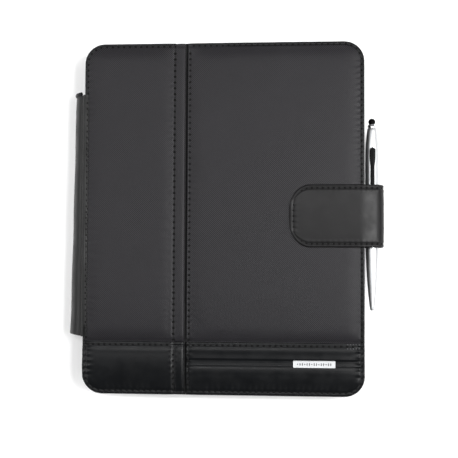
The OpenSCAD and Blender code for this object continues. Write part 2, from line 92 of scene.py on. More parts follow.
class Shader:
    """A Principled material and short ways to add nodes to it."""

    def __init__(self, name, color, rough, **sockets):
        self.material = bpy.data.materials.new(name)
        self.material.use_nodes = True
        self.tree = self.material.node_tree
        self.out = self.tree.nodes["Principled BSDF"]
        self.color = color
        self.out.inputs["Base Color"].default_value = (*color, 1.0)
        self.out.inputs["Roughness"].default_value = rough
        for key, value in sockets.items():
            self.out.inputs[key.replace("_", " ")].default_value = value
        self.coord = self.tree.nodes.new("ShaderNodeTexCoord").outputs["Object"]

    def node(self, kind, inputs, out, **settings):
        """A new node's output. Its inputs are given by name or place, as links or values."""
        made = self.tree.nodes.new("ShaderNode" + kind)
        for key, value in settings.items():
            setattr(made, key, value)
        for key, value in inputs.items():
            if isinstance(value, bpy.types.NodeSocket):
                self.tree.links.new(value, made.inputs[key])
            else:
                made.inputs[key].default_value = value
        return made.outputs[out]

    def turned(self, angle=0.0, stretch=(1, 1, 1)):
        """The object's coordinates, turned about Z and stretched."""
        return self.node("Mapping", {"Vector": self.coord, "Rotation": (0, 0, angle), "Scale": stretch}, "Vector")

    def noise(self, size_mm, detail=3.0, rough=0.55, vector=None):
        return self.node("TexNoise", {"Vector": vector or self.coord, "Scale": 1 / (size_mm * MM),
                                      "Detail": detail, "Roughness": rough}, "Fac")

    def wave(self, axis, pitch_mm, **inputs):
        """Ribs a pitch apart, across an axis."""
        scale = math.pi / (10 * pitch_mm * MM)
        named = {key.replace("_", " "): value for key, value in inputs.items()}
        return self.node("TexWave", {"Vector": self.coord, "Scale": scale, **named}, "Fac", bands_direction=axis)

    def ramp(self, value, low, high, out_low=0.0, out_high=1.0):
        return self.node("MapRange", {"Value": value, "From Min": low, "From Max": high,
                                      "To Min": out_low, "To Max": out_high}, "Result")

    def math(self, operation, a, b=0.0):
        return self.node("Math", {0: a, 1: b}, 0, operation=operation)

    def add(self, a, b, share=None):
        """a plus b, or a plus a share of b."""
        return self.math("ADD", a, b if share is None else self.math("MULTIPLY", b, share))

    def shade(self, factor, dark, light):
        """Colours the surface between dark and light times its base colour."""
        first, last = [(*[c * scale for c in self.color], 1.0) for scale in (dark, light)]
        mixed = self.node("Mix", {"Factor": factor, 6: first, 7: last}, 2, data_type="RGBA")
        self.tree.links.new(mixed, self.out.inputs["Base Color"])

    def roughness(self, value):
        self.tree.links.new(value, self.out.inputs["Roughness"])

    def bump(self, height, depth_mm, strength):
        normal = self.out.inputs["Normal"]
        last = {"Normal": normal.links[0].from_socket} if normal.is_linked else {}
        made = self.node("Bump", {"Height": height, "Distance": depth_mm * MM, "Strength": strength, **last},
                         "Normal")
        self.tree.links.new(made, normal)


def leather(name, color, rough=0.42, grain=0.55, depth=0.06, crease=4.0, spec=0.22):
    """Grained leather: pebbled cells, soft creases, uneven tone and gloss."""
    s = Shader(name, color, rough, Specular_IOR_Level=spec)
    cells = s.node("TexVoronoi", {"Vector": s.coord, "Scale": 1 / (grain * MM)}, "Distance",
                   feature="DISTANCE_TO_EDGE")
    pebbles = s.ramp(cells, 0.0, 0.35)
    creases = s.noise(crease, 4.0, 0.6)
    s.shade(s.ramp(s.add(s.noise(28.0), creases, 0.35), 0.45, 0.9), 0.78, 1.22)
    s.roughness(s.ramp(s.noise(9.0), 0.3, 0.7, rough - 0.06, rough + 0.08))
    s.bump(creases, depth * 2.2, 0.5)
    s.bump(pebbles, depth, 0.55)
    return s.material


def basket_weave(name, color, pitch=1.5, rough=0.33):
    """Ballistic cloth: a coarse basket weave of slightly shiny flat threads."""
    s = Shader(name, color, rough, Specular_IOR_Level=0.14)
    warp, weft = [s.wave(axis, pitch, Distortion=0.35, Detail=1.0, Detail_Scale=2.0) for axis in "XY"]
    checks = s.math("ABSOLUTE", s.math("SUBTRACT", warp, weft))
    threads = s.noise(0.3, 2.0, 0.6, s.turned(0.0, (1, 0.25, 1)))
    tone = s.noise(40.0, 4.0)
    mixed = s.add(s.add(s.math("MULTIPLY", checks, 0.8), threads, 0.25), tone, 0.15)
    # The checks' strong light and dark in the base colour are painted sheen of the threads; the thread noise and the
    # broad tone are the cloth's own uneven colour.
    s.shade(s.ramp(mixed, 0.25, 0.95), 0.15, 1.85)
    s.roughness(s.ramp(tone, 0.3, 0.7, rough - 0.03, rough + 0.05))
    s.bump(s.add(checks, threads, 0.4), 0.1, 0.7)
    return s.material


def cloth(name, color, pitch=0.7, rough=0.85):
    """Plain woven lining or tape."""
    s = Shader(name, color, rough, Specular_IOR_Level=0.2, Sheen_Weight=0.2, Sheen_Roughness=0.5)
    weave = s.math("MULTIPLY", *[s.wave(axis, pitch, Distortion=0.3) for axis in "XY"])
    s.shade(s.ramp(s.add(weave, s.noise(20.0)), 0.3, 1.3), 0.75, 1.25)
    s.bump(weave, 0.08, 0.6)
    return s.material


def metal(name, color, rough, brush=0.0, grain_mm=0.25, axis="y"):
    """Metal with fine scratches or brush lines along an axis."""
    s = Shader(name, color, rough, Metallic=1.0)
    lines = s.noise(grain_mm, 2.0, 0.6, s.turned(0.0, (0.04, 1, 1) if axis == "x" else (1, 0.04, 1)))
    smudge = s.noise(14.0)
    s.shade(s.ramp(smudge, 0.3, 0.7), 0.93, 1.05)
    s.roughness(s.ramp(s.add(lines, smudge), 0.7, 1.3, max(rough - 0.05, 0.02), rough + 0.07))
    if brush:
        s.bump(lines, brush, 0.5)
    return s.material


def plastic(name, color, rough, grain=0.0, clear=0.0, spec=0.5):
    """Moulded plastic, rubber or lacquer: faint orange peel or a fine spark-eroded grain."""
    s = Shader(name, color, rough, Coat_Weight=clear, Coat_Roughness=0.05, Specular_IOR_Level=spec)
    s.shade(s.ramp(s.noise(12.0), 0.3, 0.7), 0.9, 1.12)
    s.roughness(s.ramp(s.noise(5.0, 2.0), 0.3, 0.7, max(rough - 0.04, 0.02), rough + 0.05))
    s.bump(s.noise(0.35 if grain else 2.5, 2.0), grain or 0.01, 0.5)
    return s.material


def board(name, color):
    """Grey board: speckled with paper fibres."""
    s = Shader(name, color, 0.9, Specular_IOR_Level=0.2)
    fibre = s.noise(0.8, 4.0, 0.7, s.turned(0.3, (1, 0.3, 1)))
    s.shade(s.ramp(s.add(fibre, s.noise(0.35, 1.0)), 0.7, 1.3), 0.75, 1.2)
    s.bump(fibre, 0.05, 0.5)
    return s.material


def elastic(name, color):
    """Ribbed elastic: ribs run round the pen."""
    s = Shader(name, color, 0.8, Sheen_Weight=0.15)
    rib = s.wave("Y", 1.1)
    s.shade(rib, 0.6, 1.4)
    s.bump(rib, 0.2, 0.7)
    return s.material


def circuit(name, color):
    """Solder mask with faint tracks."""
    s = Shader(name, color, 0.45)
    tracks = s.node("TexBrick", {"Vector": s.coord, "Scale": 1 / (6.0 * MM)}, "Fac")
    s.shade(s.ramp(tracks, 0.0, 1.0), 1.0, 2.2)
    return s.material


MATERIALS = {
    "cover_fabric": basket_weave("ballistic_weave", (0.0185, 0.0178, 0.0200)),
    "band_leather": leather("band_leather", (0.0016, 0.0020, 0.0026), 0.34, 0.8, 0.02, 6.0, 0.17),
    # One leather with the band: the tab's lighter base colour is painted light where the overhead lamp falls on it.
    "tab_leather": leather("tab_leather", (0.009, 0.0088, 0.0092), 0.36, 0.7, 0.02, 5.0, 0.14),
    "spine_leather": leather("spine_leather", (0.007, 0.0071, 0.0071), 0.40, 0.7, 0.025, 5.0),
    "frame_leather": leather("frame_leather", (0.012, 0.012, 0.0128), 0.46, 0.6, 0.03),
    "pocket_leather": leather("pocket_leather", (0.012, 0.012, 0.013), 0.44, 0.6, 0.03),
    "lining": cloth("lining_cloth", (0.026, 0.026, 0.029), 0.6),
    # Near-black cloth for the fold's groove floor: painted shade where the groove lies in shadow.
    "fold_tape": cloth("fold_tape_cloth", (0.002, 0.002, 0.0022), 0.9),
    "board": board("grey_board", (0.30, 0.27, 0.22)),
    "foam": cloth("padding", (0.08, 0.08, 0.088), 1.2, 0.95),
    "elastic": elastic("ribbed_elastic", (0.014, 0.014, 0.015)),
    "plate_metal": metal("plate_metal", (0.50, 0.51, 0.52), 0.5, 0.01, 0.3, "x"),
    "magnet": metal("magnet_plating", (0.62, 0.63, 0.65), 0.22),
    "pen_metal": metal("pen_silver", (0.60, 0.61, 0.62), 0.42, 0.0, 0.2),
    "pen_chrome": metal("pen_chrome", (0.86, 0.86, 0.88), 0.05),
    "pen_clip_black": plastic("clip_lacquer", (0.001, 0.001, 0.0012), 0.35, spec=0.05),
    "stylus_rubber": plastic("stylus_rubber", (0.001, 0.001, 0.001), 0.5, 0.02, spec=0.05),
    "brass": metal("turned_brass", (0.72, 0.52, 0.24), 0.28, 0.01, 0.2),
    "refill_plastic": plastic("refill_plastic", (0.06, 0.06, 0.07), 0.3),
    "tablet_metal": metal("blasted_aluminium", (0.60, 0.61, 0.62), 0.38, 0.004, 0.18),
    "tablet_glass": plastic("tablet_glass_black", (0.004, 0.004, 0.005), 0.05, 0.0, 1.0),
    "display": plastic("display_off", (0.006, 0.007, 0.009), 0.08),
    "battery": plastic("battery_pouch", (0.045, 0.045, 0.05), 0.4),
    "circuit_board": circuit("circuit_board", (0.012, 0.05, 0.03)),
    "button_plastic": plastic("button_plastic", (0.012, 0.012, 0.013), 0.3),
    "connector_metal": metal("connector_metal", (0.48, 0.49, 0.51), 0.3),
}
THREAD = cloth("sewing_thread", (0.008, 0.008, 0.0085), 0.35, 0.8)
PALE_THREAD = cloth("sewing_thread_pale", (0.10, 0.10, 0.105), 0.35, 0.7)
# Near-black blobs at the needle holes: painted shade where the holes would lie in shadow.
HOLE_SHADE_PAINT = board("needle_hole", (0.0015, 0.0015, 0.0015))
ENGRAVED = plastic("engraved_fill", (0.10, 0.10, 0.105), 0.6, spec=0.1)


def dress(*nodes):
    """Gives CAD nodes that stay in view the material of their own slot."""
    slots = {s["node"]: s["material_slot"] for s in frame["record"]["subparts"]}
    for node in nodes:
        NODES[node].data.materials.clear()
        NODES[node].data.materials.append(MATERIALS[slots[node]])


# ---------------------------------------------------------------- solids


def arc(cx, cy, r, start, turn, steps):
    """Points round part of a circle, from a start angle through a turn, in degrees."""
    angles = [math.radians(start + turn * i / steps) for i in range(steps + 1)]
    return [(cx + r * math.cos(a), cy + r * math.sin(a)) for a in angles]


def circle(steps):
    """The angles of a whole circle's steps."""
    return [2 * math.pi * k / steps for k in range(steps)]


def loft(rings, closed=False, caps=2, wrap=True):
    """A skin over rings of equal size, with a cap on the first, both or none. closed joins the last
    ring to the first, and wrap joins the ends of each ring."""
    m, n = len(rings[0]), len(rings)
    faces = []
    for k in range(n if closed else n - 1):
        p, q = k * m, (k + 1) % n * m
        faces += [(p + i, p + (i + 1) % m, q + (i + 1) % m, q + i) for i in range(m if wrap else m - 1)]
    if caps and not closed:
        faces.append(tuple(range(m))[::-1])
    if caps == 2 and not closed:
        faces.append(tuple((n - 1) * m + i for i in range(m)))
    return [p for ring in rings for p in ring], faces


def lathe(profile, axis_point, direction="y", steps=56):
    """Turns (radius, distance) pairs about an axis through axis_point."""
    def at(a, r, d):
        u, v = r * math.cos(a), r * math.sin(a)
        return Vector(axis_point) + Vector((u, d, v) if direction == "y" else (u, v, d))
    return loft([[at(a, r, d) for r, d in profile] for a in circle(steps)], closed=True, wrap=False)


def blob(centre, tangent, up, length, width, height, segments=8, rings=5):
    """One rounded stitch or hole."""
    t, u = Vector(tangent).normalized(), Vector(up).normalized()
    s = u.cross(t).normalized()
    found = []
    for r in range(rings + 1):
        phi = math.pi * r / rings
        w = math.sin(phi) ** 0.7
        found.append([Vector(centre) - t * (0.5 * length * math.cos(phi)) + s * (0.5 * width * w * math.cos(a))
                      + u * (0.5 * height * w * math.sin(a)) for a in circle(segments)])
    return loft(found, caps=0)


def rounded_frame(x0, x1, y0, y1, radii, steps=8):
    """A rounded rectangle's points, anticlockwise from the right. radii: one for all corners, or
    bottom left, bottom right, top right and top left."""
    a, b, c, d = radii if isinstance(radii, tuple) else (radii,) * 4
    corners = ((x1 - c, y1 - c, c, 0), (x0 + d, y1 - d, d, 90), (x0 + a, y0 + a, a, 180), (x1 - b, y0 + b, b, 270))
    return [p for cx, cy, r, start in corners for p in arc(cx, cy, r, start, 90, steps)]


def plate(x0, x1, y0, y1, rings, radii, steps=5, least=0.0):
    """A rounded rectangle's solid through (inset, height) pairs, from its underside up."""
    radii = radii if isinstance(radii, tuple) else (radii,) * 4
    return loft([[(x, y, z) for x, y in rounded_frame(x0 + inset, x1 - inset, y0 + inset, y1 - inset,
                                                      tuple(max(r - inset, least) for r in radii), steps)]
                 for inset, z in rings])


def leaf(x0, x1, y0, y1, z0, z1, radii, edge=0.18):
    """A thin leaf with round corners and softened edges."""
    return plate(x0, x1, y0, y1, ((edge, z0), (0.0, z0 + edge), (0.0, z1 - edge), (edge, z1)), radii)


def ring_solid(outer, inner, z0, z1, edge=0.5):
    """A flat ring between two outlines of equal count, with rolled edges."""
    def toward(a, b, d):
        v = Vector((b[0] - a[0], b[1] - a[1]))
        v = v.normalized() * d if v.length > 1e-6 else v
        return (a[0] + v.x, a[1] + v.y)
    side = ((edge, z0), (0.12, z0 + 0.3 * edge), (0.0, 0.5 * (z0 + z1)), (0.12, z1 - 0.3 * edge), (edge, z1))
    rings = [[(*toward(o, i, d), z) for o, i in zip(outer, inner)] for d, z in side]
    rings += [[(*toward(i, o, d), z) for o, i in zip(outer, inner)] for d, z in side[::-1]]
    return loft(rings, closed=True)


def joined(solids):
    """Several solids as one."""
    points, faces = [], []
    for more, rest in solids:
        faces += [tuple(len(points) + i for i in f) for f in rest]
        points += more
    return points, faces


def grid_faces(columns, rows, offset=0, flip=False):
    faces = []
    for j in range(rows - 1):
        for i in range(columns - 1):
            a = offset + j * columns + i
            face = (a, a + 1, a + 1 + columns, a + columns)
            faces.append(face[::-1] if flip else face)
    return faces


def rim_of(rows, columns):
    """The indices round a grid's edge, anticlockwise."""
    rim = ([(0, i) for i in range(columns)] + [(j, columns - 1) for j in range(1, rows)]
           + [(rows - 1, i) for i in range(columns - 2, -1, -1)] + [(j, 0) for j in range(rows - 2, 0, -1)])
    return [j * columns + i for j, i in rim]


def slab(grid, floor):
    """A closed solid between a grid of points, as rows of columns, and a flat underside."""
    rows, columns = len(grid), len(grid[0])
    top = [p for row in grid for p in row]
    rim = rim_of(rows, columns)
    n, m = len(top), len(rim)
    faces = grid_faces(columns, rows)
    faces += [(rim[(k + 1) % m], a, n + k, n + (k + 1) % m) for k, a in enumerate(rim)]
    faces.append(tuple(n + k for k in range(m))[::-1])
    return top + [(top[k][0], top[k][1], floor) for k in rim], faces


def shell(outer, inner, rows, columns):
    """A closed sheet between two grids of points of the same size."""
    n = len(outer)
    rim = rim_of(rows, columns)
    faces = grid_faces(columns, rows) + grid_faces(columns, rows, n, True)
    return outer + inner, faces + [(b, a, n + a, n + b) for a, b in zip(rim, rim[1:] + rim[:1])]


def along(points, t):
    """A smooth curve through (position, value) pairs, flat at each of them."""
    if t <= points[0][0]:
        return points[0][1]
    for (a, va), (b, vb) in zip(points, points[1:]):
        if t <= b:
            s = (t - a) / (b - a)
            return va + (vb - va) * s * s * (3 - 2 * s)
    return points[-1][1]


def spaced(low, high, dense_low, dense_high, step, count=None):
    """Positions from low to high, close together near a rolled or sewn end."""
    near = [0, 0.12, 0.35, 0.7, 1.15, 1.7, 2.3, 2.9, 3.5, 4.3, 5.5, 7.5, 10, 13]
    start = [low + d for d in near] if dense_low else [low]
    end = [high - d for d in near] if dense_high else [high]
    a, b = start[-1], end[-1]
    count = count or max(1, round((b - a) / step))
    return start + [a + (b - a) * i / count for i in range(1, count)] + end[::-1]


# ---------------------------------------------------------------- pieces


def linked(name, data):
    obj = bpy.data.objects.new(name, data)
    bpy.context.scene.collection.objects.link(obj)
    return obj


def mesh_of(name, solid, scale=MM):
    mesh = bpy.data.meshes.new(name)
    mesh.from_pydata([Vector(p) * scale for p in solid[0]], [], solid[1])
    return mesh


def piece(name, solid, slot, body=None, replaces=(), smooth=True, materials=None, indices=None):
    """A solid's object, which rides on a body and stands for CAD nodes."""
    mesh = mesh_of(name, solid)
    mesh.validate()
    obj = linked(name, mesh)
    for material in materials or [MATERIALS[slot]]:
        mesh.materials.append(material)
    mesh.polygons.foreach_set("use_smooth", [smooth] * len(mesh.polygons))
    if indices is not None:
        mesh.polygons.foreach_set("material_index", indices)
    mesh.set_sharp_from_angle(angle=math.radians(50))
    if replaces:
        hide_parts(*replaces)
    if body:
        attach(obj, body)
    return obj


def merged(obj, distance=0.002):
    """Joins points that lie on one another, such as a lathed end on its axis, and faces outward."""
    bm = bmesh.new()
    bm.from_mesh(obj.data)
    bmesh.ops.remove_doubles(bm, verts=bm.verts, dist=distance * MM)
    bmesh.ops.recalc_face_normals(bm, faces=bm.faces)
    bm.to_mesh(obj.data)
    bm.free()
    return obj


def cut(obj, solids):
    """Cuts solids out of an object."""
    for solid in solids:
        cutter = merged(linked("cutter", mesh_of("cutter", solid)))
        modifier = obj.modifiers.new("cut", "BOOLEAN")
        modifier.object = cutter
        modifier.solver = "EXACT"
        bpy.context.view_layer.update()
        evaluated = obj.evaluated_get(bpy.context.evaluated_depsgraph_get())
        result = bpy.data.meshes.new_from_object(evaluated)
        obj.modifiers.clear()
        obj.data = result
        bpy.data.objects.remove(cutter)


def round_hole(x, y, r, z0, z1):
    return lathe([(0, z0 - 1), (r, z0 - 1), (r, z1 + 1), (0, z1 + 1)], (x, y, 0), "z", 40)


def box_hole(x0, x1, y0, y1, z0, z1):
    return loft([[(x0, y0, z), (x1, y0, z), (x1, y1, z), (x0, y1, z)] for z in (z0, z1)])


def walk(path, pitch):
    """Points and tangents at even steps along a polyline."""
    path = [Vector(p) for p in path]
    lengths = [(b - a).length for a, b in zip(path, path[1:])]
    total = sum(lengths)
    count = max(1, round(total / pitch))
    found = []
    for n in range(count):
        rest = (n + 0.5) * total / count
        for a, b, length in zip(path, path[1:], lengths):
            if rest <= length:
                found.append((a.lerp(b, rest / length), (b - a).normalized()))
                break
            rest -= length
    return found


def stitched(name, made, slot, body, thread=THREAD):
    """Threads and near-black blobs of painted shade at the needle holes, from (solid, 0 for thread or 1 for hole
    shade) pairs.
    """
    indices = [index for solid, index in made for face in solid[1]]
    return piece(name, joined(solid for solid, index in made), slot, body, materials=[thread, HOLE_SHADE_PAINT],
                 indices=indices)


def sewn(name, paths, body, height=None, up=(0, 0, 1), thread=THREAD, slot="band_leather", pitch=STITCH,
         hole=(1.8, 1.6)):
    """A line of stitches: threads with near-black blobs between them, painted shade of the needle's holes. height
    gives z from x and y.
    """
    made, normal = [], Vector(up)
    for at, tangent in (step for path in paths for step in walk(path, pitch)):
        if height:
            at = Vector((at.x, at.y, height(at.x, at.y)))
            tangent = Vector((tangent.x, tangent.y, 0))
        deep = at - tangent * (0.5 * pitch)
        if height:
            deep.z = height(deep.x, deep.y)
        made.append((blob(at + normal * 0.04, tangent, normal, pitch - 1.4, 0.65, 0.45), 0))
        if hole:
            # A near-black blob of painted shade at the needle's hole.
            made.append((blob(deep + normal * 0.12, tangent, normal, hole[0], hole[1], 0.5), 1))
    return stitched(name, made, slot, body, thread)


# ---------------------------------------------------------------- the covers' outline and face

COVER_HIGH = cad("back_leather")[1]
HALF_W, HALF_H = COVER_HIGH.x, COVER_HIGH.y
CORNER = 15.0
IN_W, IN_H = HALF_W - CORNER, HALF_H - CORNER       # the corners' centres
MAIN_LOW, MAIN_HIGH = cad("main_fabric")
STRIP_X = cad("left_fabric")[1].x
MAIN_X = MAIN_LOW.x
GROOVE_X = MAIN_X - 1
BAND_Y = MAIN_LOW.y
TOP_Z = MAIN_HIGH.z
PAD_Z = cad("main_foam")[0].z
WELT_Y = cad("main_welt")[0].y
CHANNEL_Y, CHANNEL_TOP = cad("band_channel")[0].y, cad("band_channel")[1].y
BINDING = 2.7       # width of the leather edge binding beside the fabric
SEWN_AT = 1.9       # distance of the sewn line from the covers' edge
SPINE_SIDE = 0.5    # how much further in it lies along the spine's side
SEWN_LOW = 2.7      # its distance from the bottom edge
FOLD_ROWS = (GROOVE_X - 8.6, GROOVE_X + 2.7)

# Heights across the fold, the band's seam and the band's channel: (distance, height) pairs.
FOLD_PROFILE = [(-14, 0), (-10.6, 0.0), (-9.4, -0.3), (-8.6, -0.5), (-7.8, -0.25), (-6.0, 0.15), (-3.8, 0.35),
                (-2.2, 0.25), (-1.3, -0.1), (-0.75, -0.7), (-0.45, -2.6), (0.0, -2.9), (0.85, -2.9), (0.99, -1.0),
                (1.3, -0.2), (1.9, 0.0), (2.7, -0.3), (3.5, 0.0), (7, 0)]
WELT_PROFILE = [(-9, 0), (-6.2, 0.1), (-5.2, 0.05), (-3.6, -0.25), (-2.9, -0.5), (-2.4, -0.6), (-2.0, -0.15),
                (-1.7, -0.08), (-0.3, -0.35), (0.0, -1.15), (0.5, -1.0), (1.5, -0.65), (3, -0.25), (5, -0.05), (9, 0)]
CHANNEL_PROFILE = [(-6, 0.2), (-3.6, 0.28), (-1.4, 0.25), (-0.2, 0.15), (0.3, -0.02), (1.7, -0.46), (2.3, -0.5),
                   (3.4, -0.58), (4.6, -0.6), (5.1, -0.58), (5.4, -0.4), (5.8, 0.02), (6.2, 0.1), (7, 0.05), (9, 0)]


def sewn_at(x, y):
    """Distance of the sewn line from the edge: a little more along the spine's side and the bottom."""
    side = SEWN_AT + (SPINE_SIDE if x < 0 else 0.0)
    dx, dy = max(0.0, abs(x) - IN_W), max(0.0, -y - IN_H)
    if dx > 0 and dy > 0:
        low = dy * dy / (dx * dx + dy * dy)
    else:
        low = 1.0 if HALF_H + y < HALF_W - abs(x) else 0.0
    return side + (SEWN_LOW - side) * low


def reach(y, inset=0.0):
    """Half the covers' width, less an inset, at a height y."""
    over = max(0.0, abs(y) - IN_H)
    return IN_W + math.sqrt(max(0.0, (CORNER - inset) ** 2 - over ** 2))


def left_side(y):
    return -reach(y)


def edge_distance(x, y):
    """How far a point lies inside the covers' outline."""
    dx, dy = HALF_W - abs(x), HALF_H - abs(y)
    if dx < CORNER and dy < CORNER:
        return CORNER - math.hypot(CORNER - dx, CORNER - dy)
    return min(dx, dy)


def edge_point(x, y, inset):
    """The point an inset inside the outline from a point on it."""
    centre = Vector((max(-IN_W, min(IN_W, x)), max(-IN_H, min(IN_H, y))))
    return tuple(Vector((x, y)) - (Vector((x, y)) - centre).normalized() * inset)


def outline(inset=0.0, steps=14):
    """The covers' outline, inset, anticlockwise from the top left, as (x, y, normal x, normal y)."""
    found = []
    for cx, cy, start in ((-IN_W, IN_H, 90), (-IN_W, -IN_H, 180), (IN_W, -IN_H, 270), (IN_W, IN_H, 0)):
        found += [(cx + (CORNER - inset) * nx, cy + (CORNER - inset) * ny, nx, ny)
                  for nx, ny in arc(0, 0, 1, start, 90, steps)]
    return found


def divided(path, longest):
    """An outline's points with more between them, at most about a length apart, without the last."""
    found = []
    for a, b in zip(path, path[1:]):
        count = max(1, int(math.hypot(b[0] - a[0], b[1] - a[1]) / longest))
        found += [tuple(a[k] + (b[k] - a[k]) * i / count for k in range(4)) for i in range(count)]
    return found


def rolled(d, radius, drop):
    """A rounded-over edge: 0 well inside, minus drop at the edge itself."""
    if d >= radius:
        return 0.0
    s = 1 - max(d, 0.0) / radius
    return -drop * (1 - math.sqrt(max(0.0, 1 - s * s)))


def run(x, y):
    """Distance along the sewn line nearest to a point, from the middle of each side."""
    r = CORNER - SEWN_AT
    dx, dy = abs(x) - IN_W, abs(y) - IN_H
    if dx > 0 and dy > 0:
        return IN_H + r * math.atan2(dy, dx)
    if HALF_W - abs(x) < HALF_H - abs(y):
        return abs(y)
    return IN_H + r * math.pi / 2 + (IN_W - abs(x))


def dimples(phase):
    """0 at each needle hole, 1 halfway between two."""
    return 0.5 - 0.5 * math.cos(2 * math.pi * phase / STITCH)


def bell(offset, centre, width):
    return math.exp(-((offset - centre) / width) ** 2)


def seam(offset, phase, depth, puff):
    """A sewn line's valley, deepest at the needle holes, and the puffs beside it."""
    between = dimples(phase)
    valley = -depth * (1 - 0.4 * between) * bell(offset, 0, 0.8)
    return valley + puff * between * (bell(offset, 1.9, 1.5) + 0.7 * bell(offset, -1.3, 0.7))


def crown(x, y):
    """How far the band's padding lifts its leather: it bulges below its seam and falls to the edge."""
    rise = 1.0 - math.exp(-max(0.0, edge_distance(x, y) - 2.5) / 6.0)
    if x > MAIN_X:
        below = max(0.0, CHANNEL_Y - y)
        return rise + 0.06 * below - 0.0066 * below ** 2
    below = max(0.0, WELT_Y - 1 - y)
    return rise + 0.11 * below - 0.0045 * below ** 2


def droop(y):
    """The fabric's padding thins toward the band's seam and toward the top edge."""
    low = max(0.0, 1 - (y - BAND_Y) / 48)
    high = max(0.0, 1 - (HALF_H - y) / 38)
    return 0.95 * low ** 2 + 0.6 * high ** 2


def skin(x, y):
    """Height of the front cover's outer face."""
    d = edge_distance(x, y)
    leather_here = y < BAND_Y
    z = TOP_Z - 0.95 + (crown(x, y) if leather_here else PUFF(x, y) - droop(y))
    z += along(FOLD_PROFILE, x - GROOVE_X) + along(WELT_PROFILE, y - BAND_Y)
    if x > MAIN_X:
        z += along(CHANNEL_PROFILE, y - CHANNEL_Y)
    if d < 7:
        z += seam(d - sewn_at(x, y), run(x, y), 0.45, 0.65 if leather_here else 0.24)
    for row in FOLD_ROWS:
        if abs(x - row) < 3.5:
            z += seam(abs(x - row), y, 0.2, 0.16)
    return max(z + rolled(d, 1.3, 1.3), PAD_Z + 0.2)


def cloth_puff(x0, x1, y0, y1, step=2.25, scale=10, frames=20, most=1.3):
    """Blows a panel's fabric up from its sewn edge with a cloth simulation, and gives its lift as a
    function of x and y. The simulation runs at ten times the size, where the solver is steady."""
    nx, ny = round((x1 - x0) / step), round((y1 - y0) / step)
    grid = [((x0 + (x1 - x0) * i / nx) * MM * scale, (y0 + (y1 - y0) * j / ny) * MM * scale, 0)
            for j in range(ny + 1) for i in range(nx + 1)]
    obj = linked("puff", mesh_of("puff", (grid, grid_faces(nx + 1, ny + 1)), 1.0))
    pins = obj.vertex_groups.new(name="sewn")
    for j in range(ny + 1):
        for i in range(nx + 1):
            rim = min(i, j, nx - i, ny - j)
            if rim == 0 or (rim == 1 and (i + j) % 2 == 0):
                pins.add([j * (nx + 1) + i], 1.0, "REPLACE")
    fabric = obj.modifiers.new("cloth", "CLOTH")
    for key, value in dict(quality=6, mass=0.3, tension_stiffness=12, compression_stiffness=12,
                           shear_stiffness=6, bending_stiffness=0.6, air_damping=3,
                           vertex_group_mass="sewn", shrink_min=-0.008, use_pressure=True,
                           uniform_pressure_force=3.5).items():
        setattr(fabric.settings, key, value)
    fabric.settings.effector_weights.gravity = 0
    fabric.point_cache.frame_start, fabric.point_cache.frame_end = 1, frames
    scene = bpy.context.scene
    for frame_number in range(1, frames + 1):
        scene.frame_set(frame_number)
    result = obj.evaluated_get(bpy.context.evaluated_depsgraph_get()).to_mesh()
    lift = np.array([v.co.z for v in result.vertices]).reshape(ny + 1, nx + 1) / (scale * MM)
    bpy.data.objects.remove(obj)
    scene.frame_set(1)
    lift = most * np.tanh(lift / most)

    def at(x, y):
        u = min(max((x - x0) / (x1 - x0), 0.0), 1.0) * nx
        v = min(max((y - y0) / (y1 - y0), 0.0), 1.0) * ny
        i, j = min(int(u), nx - 1), min(int(v), ny - 1)
        a, b = u - i, v - j
        return float((1 - b) * ((1 - a) * lift[j, i] + a * lift[j, i + 1])
                     + b * ((1 - a) * lift[j + 1, i] + a * lift[j + 1, i + 1]))
    return at


def make_puff():
    """One lift for both fabric panels; the fold and the outside edge stay down."""
    make = cloth_puff
    left = make(-HALF_W + SEWN_AT, FOLD_ROWS[0], BAND_Y, HALF_H - SEWN_AT)
    main = make(FOLD_ROWS[1], HALF_W - SEWN_AT, BAND_Y, HALF_H - SEWN_AT)
    return lambda x, y: left(x, y) if x < FOLD_ROWS[0] else main(x, y) if x > FOLD_ROWS[1] else 0.45


PUFF = make_puff()


# ---------------------------------------------------------------- front cover


def patch(name, x0, x1, y0, y1, slot, body, replaces, dense, step, step_x=3.0):
    """A stretch of the front cover's skin. x0 or x1 may be a function of y, on a curved side. dense
    names its sewn ends: l, r, b, t."""
    ys = spaced(y0, y1, "b" in dense, "t" in dense, step)
    ends = [(x0(y) if callable(x0) else x0, x1(y) if callable(x1) else x1) for y in ys]
    count = round((max(b - a for a, b in ends) - 13 * ("l" in dense) - 13 * ("r" in dense)) / step_x)
    grid = [[(x, y, skin(x, y)) for x in spaced(a, b, "l" in dense, "r" in dense, step_x, count)]
            for y, (a, b) in zip(ys, ends)]
    return piece(name, slab(grid, PAD_Z), slot, body, replaces)


def front_cover():
    """The padded outer face in its sewn panels."""
    fine, finest = STITCH / 5, 0.35
    left = (left_side, STRIP_X)
    main = (MAIN_X, reach)
    hide = "band_leather"
    padded = [
        patch("left_fabric_panel", *left, BAND_Y, HALF_H, "cover_fabric", "front_left",
              ["left_fabric", "left_foam"], "lrbt", fine),
        patch("left_band_leather", *left, -HALF_H, WELT_Y, hide, "front_left", ["left_band"], "lrb", fine, fine)]
    patch("left_welt_roll", *left, WELT_Y, BAND_Y, hide, "front_left", ["left_welt"], "lr", finest)
    padded.append(patch("main_fabric_panel", *main, BAND_Y, HALF_H, "cover_fabric", "front_main",
                        ["main_fabric", "main_foam"], "lrbt", fine))
    patch("band_upper_leather", *main, CHANNEL_TOP, WELT_Y, hide, "front_main", ["band_upper"], "lr", 0.6)
    patch("band_channel_strip", *main, CHANNEL_Y, CHANNEL_TOP, hide, "front_main", ["band_channel"], "lr", finest)
    padded.append(patch("band_lower_leather", *main, -HALF_H, CHANNEL_Y, hide, "front_main", ["band_lower"],
                        "lrb", fine, fine))
    patch("main_welt_roll", *main, WELT_Y, BAND_Y, hide, "front_main", ["main_welt"], "lr", finest)


